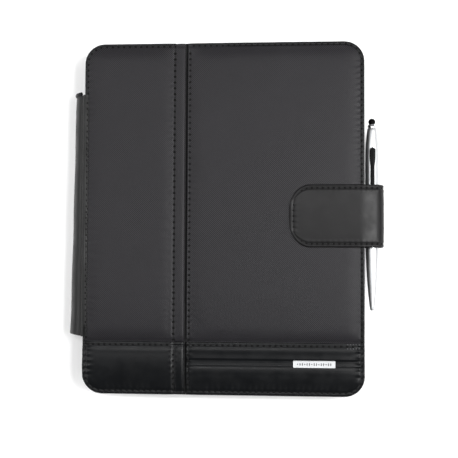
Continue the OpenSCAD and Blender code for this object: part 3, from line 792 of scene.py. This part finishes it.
def fold_strip():
    """The soft strip of the fold, in fabric above the seam and leather below it; the groove's floor is near-black
    cloth, painted shade.
    """
    wall = GROOVE_X - 1.4
    xs = [STRIP_X + (wall - STRIP_X) * i / 20 for i in range(20)]
    xs += [wall + (MAIN_X - 0.05 - wall) * i / 22 for i in range(23)]
    seam_y = WELT_Y - 1
    fabric_ys = spaced(BAND_Y, HALF_H, False, True, STITCH / 4)
    leather_ys = spaced(-HALF_H, seam_y, True, False, STITCH / 4)
    leather_ys += [seam_y + (BAND_Y - seam_y) * i / 15 for i in range(1, 16)]
    for name, ys, slot, nodes in (
        ("fold_fabric_strip", fabric_ys, "cover_fabric", ["fold_strip_fabric", "fold_tape"]),
        ("fold_leather_strip", leather_ys, "band_leather", ["fold_strip_leather"]),
    ):
        top = [(x, y, skin(x, y)) for y in ys for x in xs]
        points, faces = shell(top, [(x, y, z - 0.9) for x, y, z in top], len(ys), len(xs))
        # Faces on the groove's floor take the near-black cloth: painted shade.
        deep = [int(all(points[i][0] > GROOVE_X - 0.66 for i in face)) for face in faces]
        strip = piece(name, (points, faces), slot, None, nodes, indices=deep,
                      materials=[MATERIALS[slot], MATERIALS["fold_tape"]])
        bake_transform(strip)


def binding_section(x, y, z_low, proud=0.25, drop=1.0):
    """A turned-over leather edge at a point of the outline: over the top, round the side and under, as
    (outward, up) pairs. It is wide beside the fabric and tucked under beside the band."""
    wide = 0.9 if y <= BAND_Y else BINDING if x >= 0 else 1.9
    top = skin(*edge_point(x, y, wide)) + (0.22 if y > BAND_Y else -0.25)
    section = [(-wide, top - 0.5), (-wide, top - 0.1), (-wide + 0.2, top + 0.05)]
    section += [(proud - 0.8 + 0.8 * c, top - drop + drop * s + 0.05) for c, s in arc(0, 0, 1, 90, -90, 7)]
    section += [(proud - 1.1 + 1.1 * c, z_low + 1.1 + 1.1 * s) for c, s in arc(0, 0, 1, 0, -90, 6)]
    return section + [(-4.8, z_low), (-5.0, z_low + 0.15), (-5.0, z_low + 0.4), (-1.2, z_low + 0.5),
                      (proud - 0.5, z_low + 1.4), (proud - 0.5, top - drop), (-0.7 * wide, top - 0.45)]


def front_binding():
    """Leather binding round both halves of the front cover."""
    low = cad("main_lining")[0].z + 0.1
    base = outline()
    left = [(STRIP_X, HALF_H, 0, 1)] + [p for p in base if p[0] <= STRIP_X] + [(STRIP_X, -HALF_H, 0, -1)]
    main = [(MAIN_X, -HALF_H, 0, -1)] + [p for p in base if p[0] >= MAIN_X] + [(MAIN_X, HALF_H, 0, 1)]
    for name, path, body in (("left_edge_binding", left, "front_left"), ("main_edge_binding", main, "front_main")):
        rings = []
        for x, y, nx, ny in divided(path, 6) + path[-1:]:
            n = Vector((nx, ny)).normalized()
            rings.append([(x + n.x * a, y + n.y * a, b) for a, b in binding_section(x, y, low)])
        merged(piece(name, loft(rings), "band_leather", body))


def sewn_path(inset, x0, x1):
    """The sewn line's polyline between two x values, inset from the sides and SEWN_LOW from the bottom."""
    points = []
    for cx, cy, start in ((-IN_W, IN_H, 90), (-IN_W, -IN_H, 180)) if x1 < 0 else ((IN_W, -IN_H, 270), (IN_W, IN_H, 0)):
        for c, s in arc(0, 0, 1, start, 90, 12):
            near = CORNER - inset - ((SEWN_LOW - inset) * s ** 2 if cy < 0 else 0)
            points.append((cx + near * c, cy + near * s, 0))
    if x1 < 0:
        return [(x1, HALF_H - inset, 0)] + points + [(x1, -HALF_H + SEWN_LOW, 0)]
    return [(x0, -HALF_H + SEWN_LOW, 0)] + points + [(x0, HALF_H - inset, 0)]


def edge_height(x, y):
    """Height of the sewn line round the covers: on the binding beside the fabric, on the band below."""
    if y < BAND_Y:
        return skin(x, y)
    return skin(x, y) + 0.1 if x < 0 else skin(*edge_point(x, y, BINDING - SEWN_AT)) + 0.38


def front_stitches():
    """Every sewn line on the front cover's outer face."""
    sewn("left_edge_stitches", [sewn_path(SEWN_AT + SPINE_SIDE, 0, STRIP_X)], "front_left", edge_height)
    sewn("main_edge_stitches", [sewn_path(SEWN_AT, MAIN_X, 0)], "front_main", edge_height)
    tacks = [[(HALF_W - 13.5, y, 0), (HALF_W - 3, y, 0)] for y in (BAND_Y - 0.7, BAND_Y - 3.8)]
    sewn("seam_bar_tack", tacks, "front_main", skin, thread=PALE_THREAD, pitch=2.3, hole=None)
    seam_y = BAND_Y - 2.1
    sewn("left_seam_stitches", [[(-HALF_W + 4, seam_y, 0), (STRIP_X - 0.5, seam_y, 0)]], "front_left", skin)
    sewn("main_seam_stitches", [[(MAIN_X + 1, seam_y, 0), (HALF_W - 4, seam_y, 0)]], "front_main", skin)
    for name, x, body, proud in (("fold_left_stitches", FOLD_ROWS[0], "front_left", 0.12),
                                 ("fold_right_stitches", FOLD_ROWS[1], "front_main", 0.5)):
        sewn(name, [[(x, BAND_Y + 1.5, 0), (x, HALF_H - 3.5, 0)], [(x, -HALF_H + 3.5, 0), (x, WELT_Y - 1, 0)]],
             body, lambda px, py: skin(px, py) + proud, hole=(1.8, 2.3))


def name_plate():
    """A plain bright plate with a row of even engraved bars, seated in the channel."""
    x0, x1, y0, y1, z0, z1 = sides("name_plate")
    rings = ((0.0, z0), (0.0, z1 - 0.25), (0.08, z1 - 0.08), (0.25, z1), (0.42, z1), (0.5, z1 - 0.05),
             (0.62, z1 - 0.05))
    piece("name_plate_metal", plate(x0, x1, y0, y1, rings, 0.5, 4, 0.12), "plate_metal", "front_main",
          ["name_plate"], smooth=False)
    centre, bars, pitch = 0.5 * (x0 + x1), 15, 1.75
    marks = [blob((centre + (n - (bars - 1) / 2) * pitch, 0.5 * (y0 + y1), z1 - 0.05), (0, 1, 0), (0, 0, 1),
                  2.3 if n % 3 else 1.2, 0.85, 0.14, 8, 4) for n in range(bars)]
    piece("name_plate_marks", joined(marks), "plate_metal", "front_main", materials=[ENGRAVED])


def lining(name, node, body, inset, z1, x0=None, x1=None, columns=12):
    """A flat lining of the covers' outline, inset, up to a straight side at x0 or x1."""
    grid = []
    for y in spaced(-HALF_H + inset, HALF_H - inset, True, True, 8.0):
        side = reach(y, inset)
        xs = spaced(-side if x0 is None else x0, side if x1 is None else x1, False, False, 10.0, columns)
        grid.append([(x, y, z1) for x in xs])
    piece(name, slab(grid, cad(node)[0].z), "lining", body, [node])


def front_inside():
    """Lining, document pocket and stepped card slots on the cover's inner side."""
    low, high = cad("left_lining")
    lining("left_lining_cloth", "left_lining", "front_left", 1.2, high.z, x1=high.x)
    low, high = cad("main_lining")
    lining("main_lining_cloth", "main_lining", "front_main", 1.2, high.z, x0=low.x)
    x0, x1, y0, y1, z, z1 = sides("document_pocket")
    piece("document_pocket_leaf", leaf(x0, x1, y0, y1, z, z1, (1, 11, 4, 1)), "pocket_leather", "front_main",
          ["document_pocket"])
    x0, x1, y0, y1 = x0 + 2, x1 - 2, y0 + 2, y1 - 2.2
    pocket_lines = [[(x0, y1, z), (x0, y0, z), (x1 - 7, y0, z)], [(x1, y0 + 8, z), (x1, y1, z)],
                    [(x0 + 2, y1, z), (x1 - 2, y1, z)]]
    x0, x1, y0, y1, z, top = sides("card_pockets")
    thick, step, lines = (top - z) / 3, 14.0, []
    for i in range(3):
        z1 = top - thick * i
        piece(f"card_slot_{i + 1}", leaf(x0, x1, y0, y1 - i * step, z1 - thick + 0.02, z1, 1.5), "pocket_leather",
              "front_main", ["card_pockets"] if i == 0 else [])
        lines.append([(x0 + 2, y1 - i * step - 2, z1 - thick), (x1 - 2, y1 - i * step - 2, z1 - thick)])
    y = y1 - 2 * step - 4
    lines += [[(x0 + 1.8, y0 + 2, z), (x0 + 1.8, y, z)], [(x1 - 1.8, y0 + 2, z), (x1 - 1.8, y, z)],
              [(x0 + 4, y0 + 1.8, z), (x1 - 4, y0 + 1.8, z)]]
    for name, paths in (("document_pocket_stitches", pocket_lines), ("card_slot_stitches", lines)):
        sewn(name, paths, "front_main", up=(0, 0, -1), slot="pocket_leather", hole=SMALL_HOLE_SHADE_PAINT)


# ---------------------------------------------------------------- spine

SPINE_LOW, SPINE_HIGH = cad("spine_leather")
SPINE_MID_Z = 0.5 * (SPINE_LOW.z + SPINE_HIGH.z)
SPINE_HALF = 0.5 * (SPINE_HIGH.z - SPINE_LOW.z)
BULGE_BOTTOM = -HALF_W - SPINE_LOW.x
BULGE_TOP = BULGE_BOTTOM - 3.2
SPINE_T = 1.3
FLAP_W = 1.6


def spine_bulge(y):
    """How far the soft spine stands out past the covers at a height y."""
    s = (y - SPINE_LOW.y) / (SPINE_HIGH.y - SPINE_LOW.y)
    return BULGE_BOTTOM + (BULGE_TOP - BULGE_BOTTOM) * s ** 0.75


def spine(count=28):
    """The soft leather spine: a sagging half-round band with a rolled hem at its top end."""
    rings = []
    for y in spaced(SPINE_LOW.y, SPINE_HIGH.y, True, True, 5.0):
        close = rolled(min(y - SPINE_LOW.y, SPINE_HIGH.y - y), 1.6, 0.5)
        depth = spine_bulge(y) + close + 0.18 * math.sin(0.11 * y)
        lean = -1.3 * math.exp(-(y - SPINE_LOW.y) / 6.0)
        layers = []
        for layer in (0.0, SPINE_T):
            ring = []
            for i in range(count + 1):
                a = math.pi * (0.5 + i / count)
                x = -HALF_W + 0.6 + (depth + 0.6 - layer) * math.cos(a) * (1 - 0.06 * math.sin(2 * a) ** 2)
                z = SPINE_MID_Z + (SPINE_HALF + 0.35 + 0.5 * close - layer) * math.sin(a)
                ring.append((x, y + lean * math.cos(a), z))
            layers.append(ring)
        rings.append(layers[0] + layers[1][::-1])
    points, faces = loft(rings, caps=0)
    m, last = 2 * (count + 1), len(points) - 2 * (count + 1)
    for k in (0, last):
        faces += [(k + i, k + i + 1, k + m - 2 - i, k + m - 1 - i) for i in range(count)]
    band = merged(piece("spine_band", (points, faces), "spine_leather", "spine", ["spine_leather", "spine_lining"]))
    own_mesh(band)
    bulge = spine_bulge(SPINE_HIGH.y) - 0.4
    rings = []
    for i in range(23):
        a = math.pi * (0.605 + 0.755 * i / 22)
        c, s = math.cos(a), math.sin(a)
        rings.append([(-HALF_W + (bulge + 1.15 * math.cos(t)) * c, SPINE_HIGH.y + 0.9 + 1.5 * math.sin(t),
                       SPINE_MID_Z + (SPINE_HALF - 0.4 + 1.15 * math.cos(t)) * s) for t in circle(14)])
    hem = piece("spine_end_roll", loft(rings), "band_leather", "spine")
    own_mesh(hem)


def spine_flap():
    """The spine's sewn margin on the front cover's face."""
    ys = spaced(SPINE_LOW.y, SPINE_HIGH.y, True, True, 4.0)
    columns = 15
    points = []
    for y in ys:
        for i in range(columns):
            s = i / (columns - 1)
            a = math.radians(160 - 70 * min(1.0, s * 2))
            if s < 0.5:
                x, z = -HALF_W + 0.9 + 2.1 * math.cos(a), TOP_Z - 2.0 + 2.1 * math.sin(a)
            else:
                u = (s - 0.5) * 2
                x = -HALF_W + 1.3 + FLAP_W * u
                z = skin(max(x, -HALF_W + 1.2), y) + 0.3 - 0.3 * u * u
                z = max(z, TOP_Z - 1.2) if u < 0.3 else z
            points.append((x, y, z))
    flap = piece("spine_front_flap", (points, grid_faces(columns, len(ys))), "spine_leather", "front_left")
    solid = flap.modifiers.new("thickness", "SOLIDIFY")
    solid.thickness, solid.offset = 0.4 * MM, 1.0
    x = -HALF_W + 1.7
    sewn("spine_front_stitches", [[(x, SPINE_LOW.y + 2, 0), (x, SPINE_HIGH.y - 2, 0)]], "front_left",
         lambda px, py: skin(px, py) + 0.62, slot="spine_leather")


# ---------------------------------------------------------------- back cover and holder


def back_cover(r_edge=1.9):
    """The back cover: a leather skin turned over its board, lined inside."""
    h = cad("back_lining")[1].z
    profile = [(6.0, 0.0)] + [(r_edge - r_edge * c, 0.5 * h + 0.5 * h * s) for c, s in arc(0, 0, 1, -90, 180, 10)]
    base = outline()
    path = [(x, y, Vector((nx, ny)).normalized()) for x, y, nx, ny in divided(base + base[:1], 8)]
    rings = [[(x - n.x * inset, y - n.y * inset, z) for x, y, n in path] for inset, z in profile + [(5.0, h)]]
    merged(piece("back_cover_leather", loft(rings, caps=1), "band_leather", "back_case", ["back_leather"]))
    lining("back_lining_cloth", "back_lining", "back_case", 4.6, h - 0.02, columns=20)
    for name, z, up in (("back_inner_stitches", h - 0.24, 1), ("back_outer_stitches", 0.12, -1)):
        rim = [(x, y, z) for x, y, nx, ny in outline(SEWN_AT)]
        sewn(name, [rim + rim[:1]], "back_case", up=(0, 0, up), hole=SMALL_HOLE_SHADE_PAINT)


HOME_HOLE = (0, -110.5)     # the home button's place
CAMERA_HOLE = (0, 111)


def holder():
    """The stitched bezel frame that holds the tablet, and its walls."""
    x0, x1, y0, y1, z0, z1 = sides("holder_frame")
    bezel = ring_solid(rounded_frame(x0, x1, y0, y1, 6), rounded_frame(-76, 76, -101, 101, 3), z0, z1)
    obj = piece("holder_bezel", bezel, "frame_leather", "back_case", ["holder_frame"])
    cut(obj, [round_hole(*HOME_HOLE, 8.5, z0, z1), round_hole(*CAMERA_HOLE, 3.5, z0, z1)])
    edge = [(x, y, z1) for x, y in rounded_frame(x0 + 2.2, x1 - 2.2, y0 + 2.2, y1 - 2.2, 5, 6)]
    sewn("bezel_stitches", [edge + edge[:1]], "back_case", slot="frame_leather", hole=SMALL_HOLE_SHADE_PAINT)
    dock = 16.0     # half the gap in the bottom wall for the dock
    for name in ("holder_wall_left", "holder_wall_right", "holder_wall_bottom"):
        x0, x1, *rest = sides(name)
        spans = [(x0, -dock), (dock, x1)] if name == "holder_wall_bottom" else [(x0, x1)]
        piece(name + "_leather", joined(leaf(a, b, *rest, 1, 0.4) for a, b in spans), "frame_leather",
              "back_case", [name])


# ---------------------------------------------------------------- closure strap

TAB_LOW, TAB_HIGH = cad("tab_leather")
ROOT_LOW, ROOT_HIGH = cad("tab_root_strap")
STRAP_RIGHT = ROOT_HIGH.x
STRAP_TOP = TAB_HIGH.z
STRAP_LOW = ROOT_LOW.z
STRAP_T = 2.3
LOW_BEND, TOP_BEND = 9.0, 7.8   # the bends' radii
SHOULDER = math.radians(9.5)    # slope of the strap from the cover's edge to the bend
TAB_END_R = 15.0                # the rounded end's reach along the strap, and across it
TAB_END_ACROSS = 19.5
TAB_MID_Y = 0.5 * (TAB_LOW.y + TAB_HIGH.y)
TAB_HALF = 0.5 * (TAB_HIGH.y - TAB_LOW.y)


def strap_line():
    """The strap's outer surface from its free end over the bend to its sewn root, as x, z, the
    outward normal and the thickness."""
    found = [(x, STRAP_TOP, 0, 1, STRAP_T) for x in spaced(TAB_LOW.x, HALF_W - 4.6, True, False, 0.95)]
    crease, soft = HALF_W - 1.0, 3.2
    cx = STRAP_RIGHT - TOP_BEND
    rise, across, slope = math.cos(SHOULDER), math.sin(SHOULDER), math.tan(SHOULDER)
    turn_x = cx + TOP_BEND * across
    cz = STRAP_TOP - (turn_x - crease) * slope - TOP_BEND * rise
    for i in range(9):
        a = SHOULDER * (i + 0.5) / 9
        x = crease - soft + 2 * soft * (i + 0.5) / 9
        drop = 0.5 * slope * (x - crease + soft) ** 2 / (2 * soft)
        found.append((x, STRAP_TOP - drop, math.sin(a), math.cos(a), 2.1 - 0.04 * i))
    for i in range(1, 8):
        x = crease + soft + (turn_x - crease - soft) * i / 8
        found.append((x, STRAP_TOP - (x - crease) * slope, across, rise, 1.7))
    for i in range(15):
        a = SHOULDER + (math.pi / 2 - SHOULDER) * i / 14
        found.append((cx + TOP_BEND * math.sin(a), cz + TOP_BEND * math.cos(a), math.sin(a), math.cos(a), 1.7))
    low_z = STRAP_LOW + LOW_BEND
    found += [(STRAP_RIGHT, cz + (low_z - cz) * i / 6, 1, 0, 1.9) for i in range(1, 6)]
    found += [(STRAP_RIGHT - LOW_BEND + LOW_BEND * c, low_z + LOW_BEND * s, c, s, 2.1)
              for c, s in arc(0, 0, 1, 0, -90, 12)]
    return found + [(x, STRAP_LOW, 0, -1, STRAP_T) for x in (STRAP_RIGHT - LOW_BEND - 4, ROOT_LOW.x)]


def strap_half_width(x, on_top):
    """Half the strap's width: it narrows round its free end."""
    over = TAB_LOW.x + TAB_END_R - x
    if on_top and over > 0:
        return TAB_HALF - TAB_END_ACROSS + TAB_END_ACROSS * math.sqrt(max(0.0, 1 - (over / TAB_END_R) ** 2))
    return TAB_HALF


def closure_strap():
    """The padded tab, one strap from its free end over its bend to its sewn root."""
    line = strap_line()
    across = [0.0, 0.028, 0.06, 0.09, 0.115, 0.14, 0.17] + [0.17 + 0.83 * i / 22 for i in range(1, 23)]
    across = [t - 1 for t in across] + [1 - t for t in across[-2::-1]]
    outer, inner = [], []
    for x, z, nx, nz, thick in line:
        on_top = nz > 0.99
        w = strap_half_width(x, on_top)
        end_gap = x - TAB_LOW.x if on_top else 99.0
        for t in across:
            y = TAB_MID_Y + w * t
            side_gap = w * (1 - abs(t))
            d = min(side_gap, end_gap)
            between = dimples((x if side_gap < end_gap else y) * STITCH / TAB_STITCH)
            sag = rolled(d, 1.0, 0.8) + 0.22 * between * bell(d, 1.3, 0.8)
            sag += -(0.5 - 0.2 * between) * bell(d, 2.7, 0.7) + 0.25 * between * bell(d, 4.4, 1.0)
            sag -= 0.35 * math.exp(-max(0.0, d - 3.0) / 5.0)
            outer.append((x + nx * sag, y, z + nz * sag))
            under = -thick + (0.35 if d < 0.6 else 0.0)
            inner.append((x + nx * under, y, z + nz * under))
    strap = piece("closure_strap", shell(outer, inner, len(line), len(across)), "tab_leather", None,
                  ["tab_leather", "tab_core", "tab_lining", "tab_magnet", "tab_root_strap"])
    for obj in (merged(strap), strap_stitches()):
        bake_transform(obj)


def strap_stitches(inset=2.7, sunk=-0.62):
    """The sewn line round the tab, over the bend, with near-black blobs of painted shade at the needle holes."""
    half, r, r_across = TAB_HALF - inset, TAB_END_R - inset, TAB_END_ACROSS - inset
    x0 = TAB_LOW.x + inset
    bend = [entry[:4] for entry in strap_line() if entry[0] > x0 + r and entry[1] > 8]
    top, low = [[(Vector((x, TAB_MID_Y + y, z)), Vector((nx, 0, nz))) for x, z, nx, nz in bend]
                for y in (half, -half)]
    end = [(Vector((x0 + r + r * c, TAB_MID_Y + sign * (half - r_across) + r_across * s, STRAP_TOP)),
            Vector((0, 0, 1))) for sign, start in ((1, 90), (-1, 180)) for c, s in arc(0, 0, 1, start, 90, 10)]
    path = top[::-1] + end + low
    marks = [0.0]
    for (a, _), (b, _) in zip(path, path[1:]):
        marks.append(marks[-1] + (b - a).length)
    count = round(marks[-1] / TAB_STITCH)
    made = []
    for n in range(count):
        # Index 1 blobs are near-black painted shade at the needle holes.
        for offset, index, lift, size in ((0.5, 0, 0.05, (2.7, 0.55, 0.4)), (0.0, 1, 0.06, (1.6, 1.5, 0.5))):
            at = (n + offset) * marks[-1] / count
            k = min(max(np.searchsorted(marks, at) - 1, 0), len(path) - 2)
            (a, na), (b, nb) = path[k], path[k + 1]
            s = (at - marks[k]) / max(marks[k + 1] - marks[k], 1e-6)
            normal = na.lerp(nb, s).normalized()
            made.append((blob(a.lerp(b, s) + normal * (sunk + lift), (b - a).normalized(), normal, *size), index))
    return stitched("tab_stitches", made, "tab_leather", None)


# ---------------------------------------------------------------- pen

PEN_LOW, PEN_HIGH = cad("pen_lower_barrel")
PEN_X = 0.5 * (PEN_LOW.x + PEN_HIGH.x)
PEN_Z = 0.5 * (PEN_LOW.z + PEN_HIGH.z)
PEN_R = 0.5 * (PEN_HIGH.x - PEN_LOW.x)
PEN_BORE = 3.9


def turned(name, profile, slot, body, node):
    return merged(piece(name, lathe(profile, (PEN_X, 0, PEN_Z)), slot, body, [node]))


def pen():
    """The twist pen: polished barrels, rings, clip, stylus ball and refill."""
    tip_y, joint_y = PEN_LOW.y, PEN_HIGH.y
    tip_r, wall, gap = 1.25, 0.8, 0.04

    def lower_r(y):
        s = (joint_y - y) / (joint_y - tip_y)
        return tip_r + (PEN_R - tip_r) * max(0.0, 1 - s ** 2.3) ** 0.8

    ys = [joint_y + (tip_y - joint_y) * (i / 40) ** 0.85 for i in range(41)]
    nose = [(PEN_R - 0.15, joint_y - gap), (PEN_R, joint_y - 0.15)] + [(lower_r(y), y) for y in ys[1:]]
    nose.append((tip_r - 0.12, tip_y - 0.1))
    nose += [(max(0.85, min(PEN_BORE, lower_r(y) - wall)), min(y, joint_y - gap)) for y in ys[::-1]]
    turned("pen_lower_shell", nose + nose[:1], "pen_metal", "pen_lower", "pen_lower_barrel")
    x0, x1, a, b, *_ = sides("pen_centre_ring")
    r = 0.5 * (x1 - x0)
    ring = [(PEN_BORE, a), (r - 0.12, a), (r, a + 0.15), (r, b - 0.15), (r - 0.12, b), (PEN_BORE, b)]
    turned("pen_middle_ring", ring + ring[:1], "pen_chrome", "pen_upper", "pen_centre_ring")
    _, _, y0, y1, *_ = sides("pen_upper_barrel")
    taper, end_r = 38.0, 3.25
    profile = [(PEN_BORE, y0), (PEN_R - 0.15, y0), (PEN_R, y0 + 0.15)]
    for i in range(1, 36):
        y = y0 + (y1 - y0) * i / 36
        profile.append((end_r + (PEN_R - end_r) * (1 - max(0.0, (y - taper) / (y1 - taper)) ** 3), y))
    profile += [(end_r - 0.12, y1 - 0.1), (end_r - 0.3, y1), (0, y1)]
    turned("pen_upper_shell", profile, "pen_metal", "pen_upper", "pen_upper_barrel")
    _, _, y0, y1, *_ = sides("stylus_collar")
    collar = [(0, y0), (2.75, y0), (2.75, y0 + 0.55), (3.05, y0 + 0.6), (3.15, y0 + 0.75), (3.15, y0 + 1.15),
              (3.0, y0 + 1.4), (2.62, y1 - 0.3), (2.45, y1), (0, y1)]
    turned("stylus_collar_ring", collar, "pen_chrome", "pen_upper", "stylus_collar")
    _, _, y0, y1, *_ = sides("stylus_tip")
    ball = [(0, y0), (2.15, y0), (2.3, y0 + 0.35)] + arc(0, y1 - 2.6, 2.6, -38, 128, 14)[:-1] + [(0, y1)]
    turned("stylus_ball", ball, "stylus_rubber", "pen_upper", "stylus_tip")
    pen_clip()
    dress("pen_twist_core", "refill_tube", "refill_point")


def pen_clip():
    """The black sprung clip: a crowned blade on a post, broad at the top and slim below."""
    _, _, y0, y1, *_ = sides("pen_clip")
    base, thick, rows, columns = PEN_R + 1.45, 1.0, 40, 9
    top, under = [], []
    for j in range(rows + 1):
        y = y0 + (y1 - y0) * j / rows
        half = 1.6 + 0.6 * min(1.0, max(0.0, (14 - (y1 - y)) / 6.0)) ** 0.8
        for cap, r in ((y - y0, 1.3), (y1 - y, 2.4)):
            if cap < r:
                half *= math.sqrt(max(0.0, 1 - (1 - cap / r) ** 2))
        z = base + 0.35 * math.exp(-((y - y0) / 4.0)) - 0.25 * bell(y, y0 + 6, 4.0)
        for i in range(columns + 1):
            t = 2 * i / columns - 1
            top.append((half * t, y, z + thick * (1 - 0.45 * abs(t) ** 2.2)))
            under.append((half * t, y, z))
    post = leaf(-1.8, 1.8, y1 - 8, y1 - 2, 4.2, base + 0.4, 1.2, 0.3)
    points, faces = joined([shell(top, under, rows + 1, columns + 1), post])
    turn = Matrix.Rotation(math.radians(-1), 4, "Y")
    points = [turn @ Vector(p) + Vector((PEN_X, 0, PEN_Z)) for p in points]
    merged(piece("pen_clip_blade", (points, faces), "pen_clip_black", "pen_upper", ["pen_clip"]))


def pen_loop():
    """The elastic loop that holds the pen, with its tail sewn under the holder."""
    x0, _, y0, y1, *_ = sides("pen_loop")
    r_in, thick = PEN_R + 0.3, 0.7
    r_out = r_in + thick
    outer, inner = [], []
    ys = spaced(y0, y1, False, False, 1.2)
    for y in ys:
        edge = 0.15 if y in (ys[0], ys[-1]) else 0.0
        for rings, r in ((outer, r_out - edge + 0.07 * math.sin(2.8 * y)), (inner, r_in + edge)):
            rings.append([(PEN_X + r * math.cos(a), y, PEN_Z + r * math.sin(a)) for a in circle(44)])
    z = PEN_Z - r_out
    tail = leaf(x0, PEN_X, y0, y1, z, z + thick, 0.5, 0.15)
    piece("pen_elastic_loop", joined([loft(outer[::-1] + inner, closed=True), tail]), "elastic", "back_case",
          ["pen_loop"])


# ---------------------------------------------------------------- tablet


def tablet():
    """The tablet's rounded housing and glass; its other pieces keep their CAD shapes."""
    x0, x1, y0, y1, z0, z1 = sides("tablet_housing")
    rings = [(7.0, z0), (4.0, z0 + 0.15), (2.4, z0 + 0.6), (1.2, z0 + 1.5), (0.45, z0 + 2.8), (0.08, z0 + 4.2),
             (0.0, z0 + 5.5), (0.0, z1 - 0.25), (0.2, z1), (1.2, z1), (1.4, z1 - 0.2), (1.4, z0 + 3.2),
             (2.6, z0 + 1.4), (7.0, z0 + 1.2)]
    housing = piece("tablet_housing_shell", plate(x0, x1, y0, y1, rings, 12.0, 10, 1.5), "tablet_metal", "tablet",
                    ["tablet_housing"])
    z, top, right = z0 + 4.3, (y1 - 3, y1 + 1), (x1 - 3, x1 + 1)
    bottom = (y0 - 1, y0 + 3)
    # power button, volume rocker, lock switch, dock, speaker and headphone socket
    cut(housing, [box_hole(*across, *along_y, z - tall, z + tall) for across, along_y, tall in (
        ((72.8, 83.2), top, 1.5), (right, (71.6, 92.4), 1.5), (right, (98.7, 106.3), 1.3),
        ((-11.2, 11.2), bottom, 1.8), ((52, 74), bottom, 0.8), ((-81.0, -75.0), top, 3.0))])
    x0, x1, y0, y1, z0, z1 = sides("tablet_glass")
    rings = ((0.0, z0), (0.0, z1 - 0.25), (0.1, z1 - 0.08), (0.3, z1))
    glass = piece("tablet_front_glass", plate(x0, x1, y0, y1, rings, 11.5, 10), "tablet_glass", "tablet",
                  ["tablet_glass"], smooth=False)
    cut(glass, [round_hole(*HOME_HOLE, 5.75, z0, z1)])
    screen = leaf(*sides("tablet_display")[:4], z1 - 0.02, z1 + 0.015, 0.5, 0.01)
    piece("tablet_screen_area", screen, "display", "tablet")
    dress("tablet_display", "tablet_battery", "tablet_logic_board", "headphone_jack", "tablet_camera",
          "tablet_speaker", "dock_connector", "power_button", "volume_rocker", "lock_switch")
    x0, x1, y0, y1, z0, z1 = sides("home_button")
    r = 5.6
    profile = [(0, z0), (r + 0.9, z0), (r + 0.9, z0 + 0.7), (r, z0 + 0.7), (r, z1 - 0.2), (r - 0.2, z1),
               (r - 0.8, z1 - 0.08), (r * 0.5, z1 - 0.28), (0, z1 - 0.35)]
    merged(piece("home_button_cap", lathe(profile, (0.5 * (x0 + x1), 0.5 * (y0 + y1), 0), "z", 48),
                 "button_plastic", "home_key", ["home_button"]))


# ---------------------------------------------------------------- stage


def softbox(name, at, along_y, across, radiance, down=False):
    """A lamp that faces the folio, or straight down."""
    light = bpy.data.lights.new(name, "AREA")
    light.shape = "RECTANGLE"
    light.size, light.size_y = (across, along_y) if down else (along_y, across)
    light.energy = math.pi * along_y * across * radiance
    obj = linked(name, light)
    obj.location = at
    if not down:
        obj.rotation_euler = (-Vector(at)).to_track_quat("-Z", "Y").to_euler()


def stage():
    """A pale floor, four soft boxes and a dim dome that is a little brighter overhead."""
    size = 6.0
    mesh = mesh_of("floor", ([(-size, -size, 0), (size, -size, 0), (size, size, 0), (-size, size, 0)],
                             [(0, 1, 2, 3)]), 1.0)
    floor = linked("floor", mesh)
    mesh.materials.append(Shader("floor_paint", (0.97, 0.97, 0.97), 0.9, Specular_IOR_Level=0.0).material)
    floor.location.z = -0.0004
    softbox("left_box", (-1.05, 0.05, 0.62), 1.1, 0.34, 5.0)
    softbox("right_box", (0.85, 0.0, 0.75), 1.2, 0.7, 3.0)
    softbox("right_key", (0.50, 0.05, 0.95), 0.42, 0.22, 24.0)
    softbox("overhead_strip", (-0.34, 0.19, 1.30), 0.16, 1.1, 13.0, True)
    world = bpy.data.worlds.new("dome")
    bpy.context.scene.world = world
    world.use_nodes = True
    tree = world.node_tree
    coord, split, ramp = [tree.nodes.new("ShaderNode" + kind) for kind in ("TexCoord", "SeparateXYZ", "ValToRGB")]
    tree.links.new(coord.outputs["Generated"], split.inputs[0])
    tree.links.new(split.outputs["Z"], ramp.inputs[0])
    tree.links.new(ramp.outputs[0], tree.nodes["Background"].inputs["Color"])
    for element, position, grey in zip(ramp.color_ramp.elements, (0.15, 0.95), (0.45, 0.6)):
        element.position = position
        element.color = (grey, grey, grey, 1)
    tree.nodes["Background"].inputs["Strength"].default_value = 0.6


def camera():
    """Looks down on the folio from a little to its lower right."""
    data = bpy.data.cameras.new("camera")
    data.sensor_width = 36.0
    data.lens = 71.3
    obj = linked("camera", data)
    obj.location = (0.0543, -0.0363, 0.7053)
    obj.rotation_euler = [math.radians(a) for a in (2.35, 4.14, 0.27)]
    bpy.context.scene.camera = obj
    view = bpy.context.scene.view_settings
    view.view_transform = "Standard"
    view.look = "None"


for build in (camera, stage, front_cover, fold_strip, front_binding, front_stitches, name_plate, front_inside,
              spine, spine_flap, back_cover, holder, closure_strap, pen, pen_loop, tablet):
    build()
dress("back_board", "left_foam", "left_board", "main_foam", "main_board", "fold_tape", "name_plate_pins",
      "catch_plate", "tab_core", "tab_magnet")
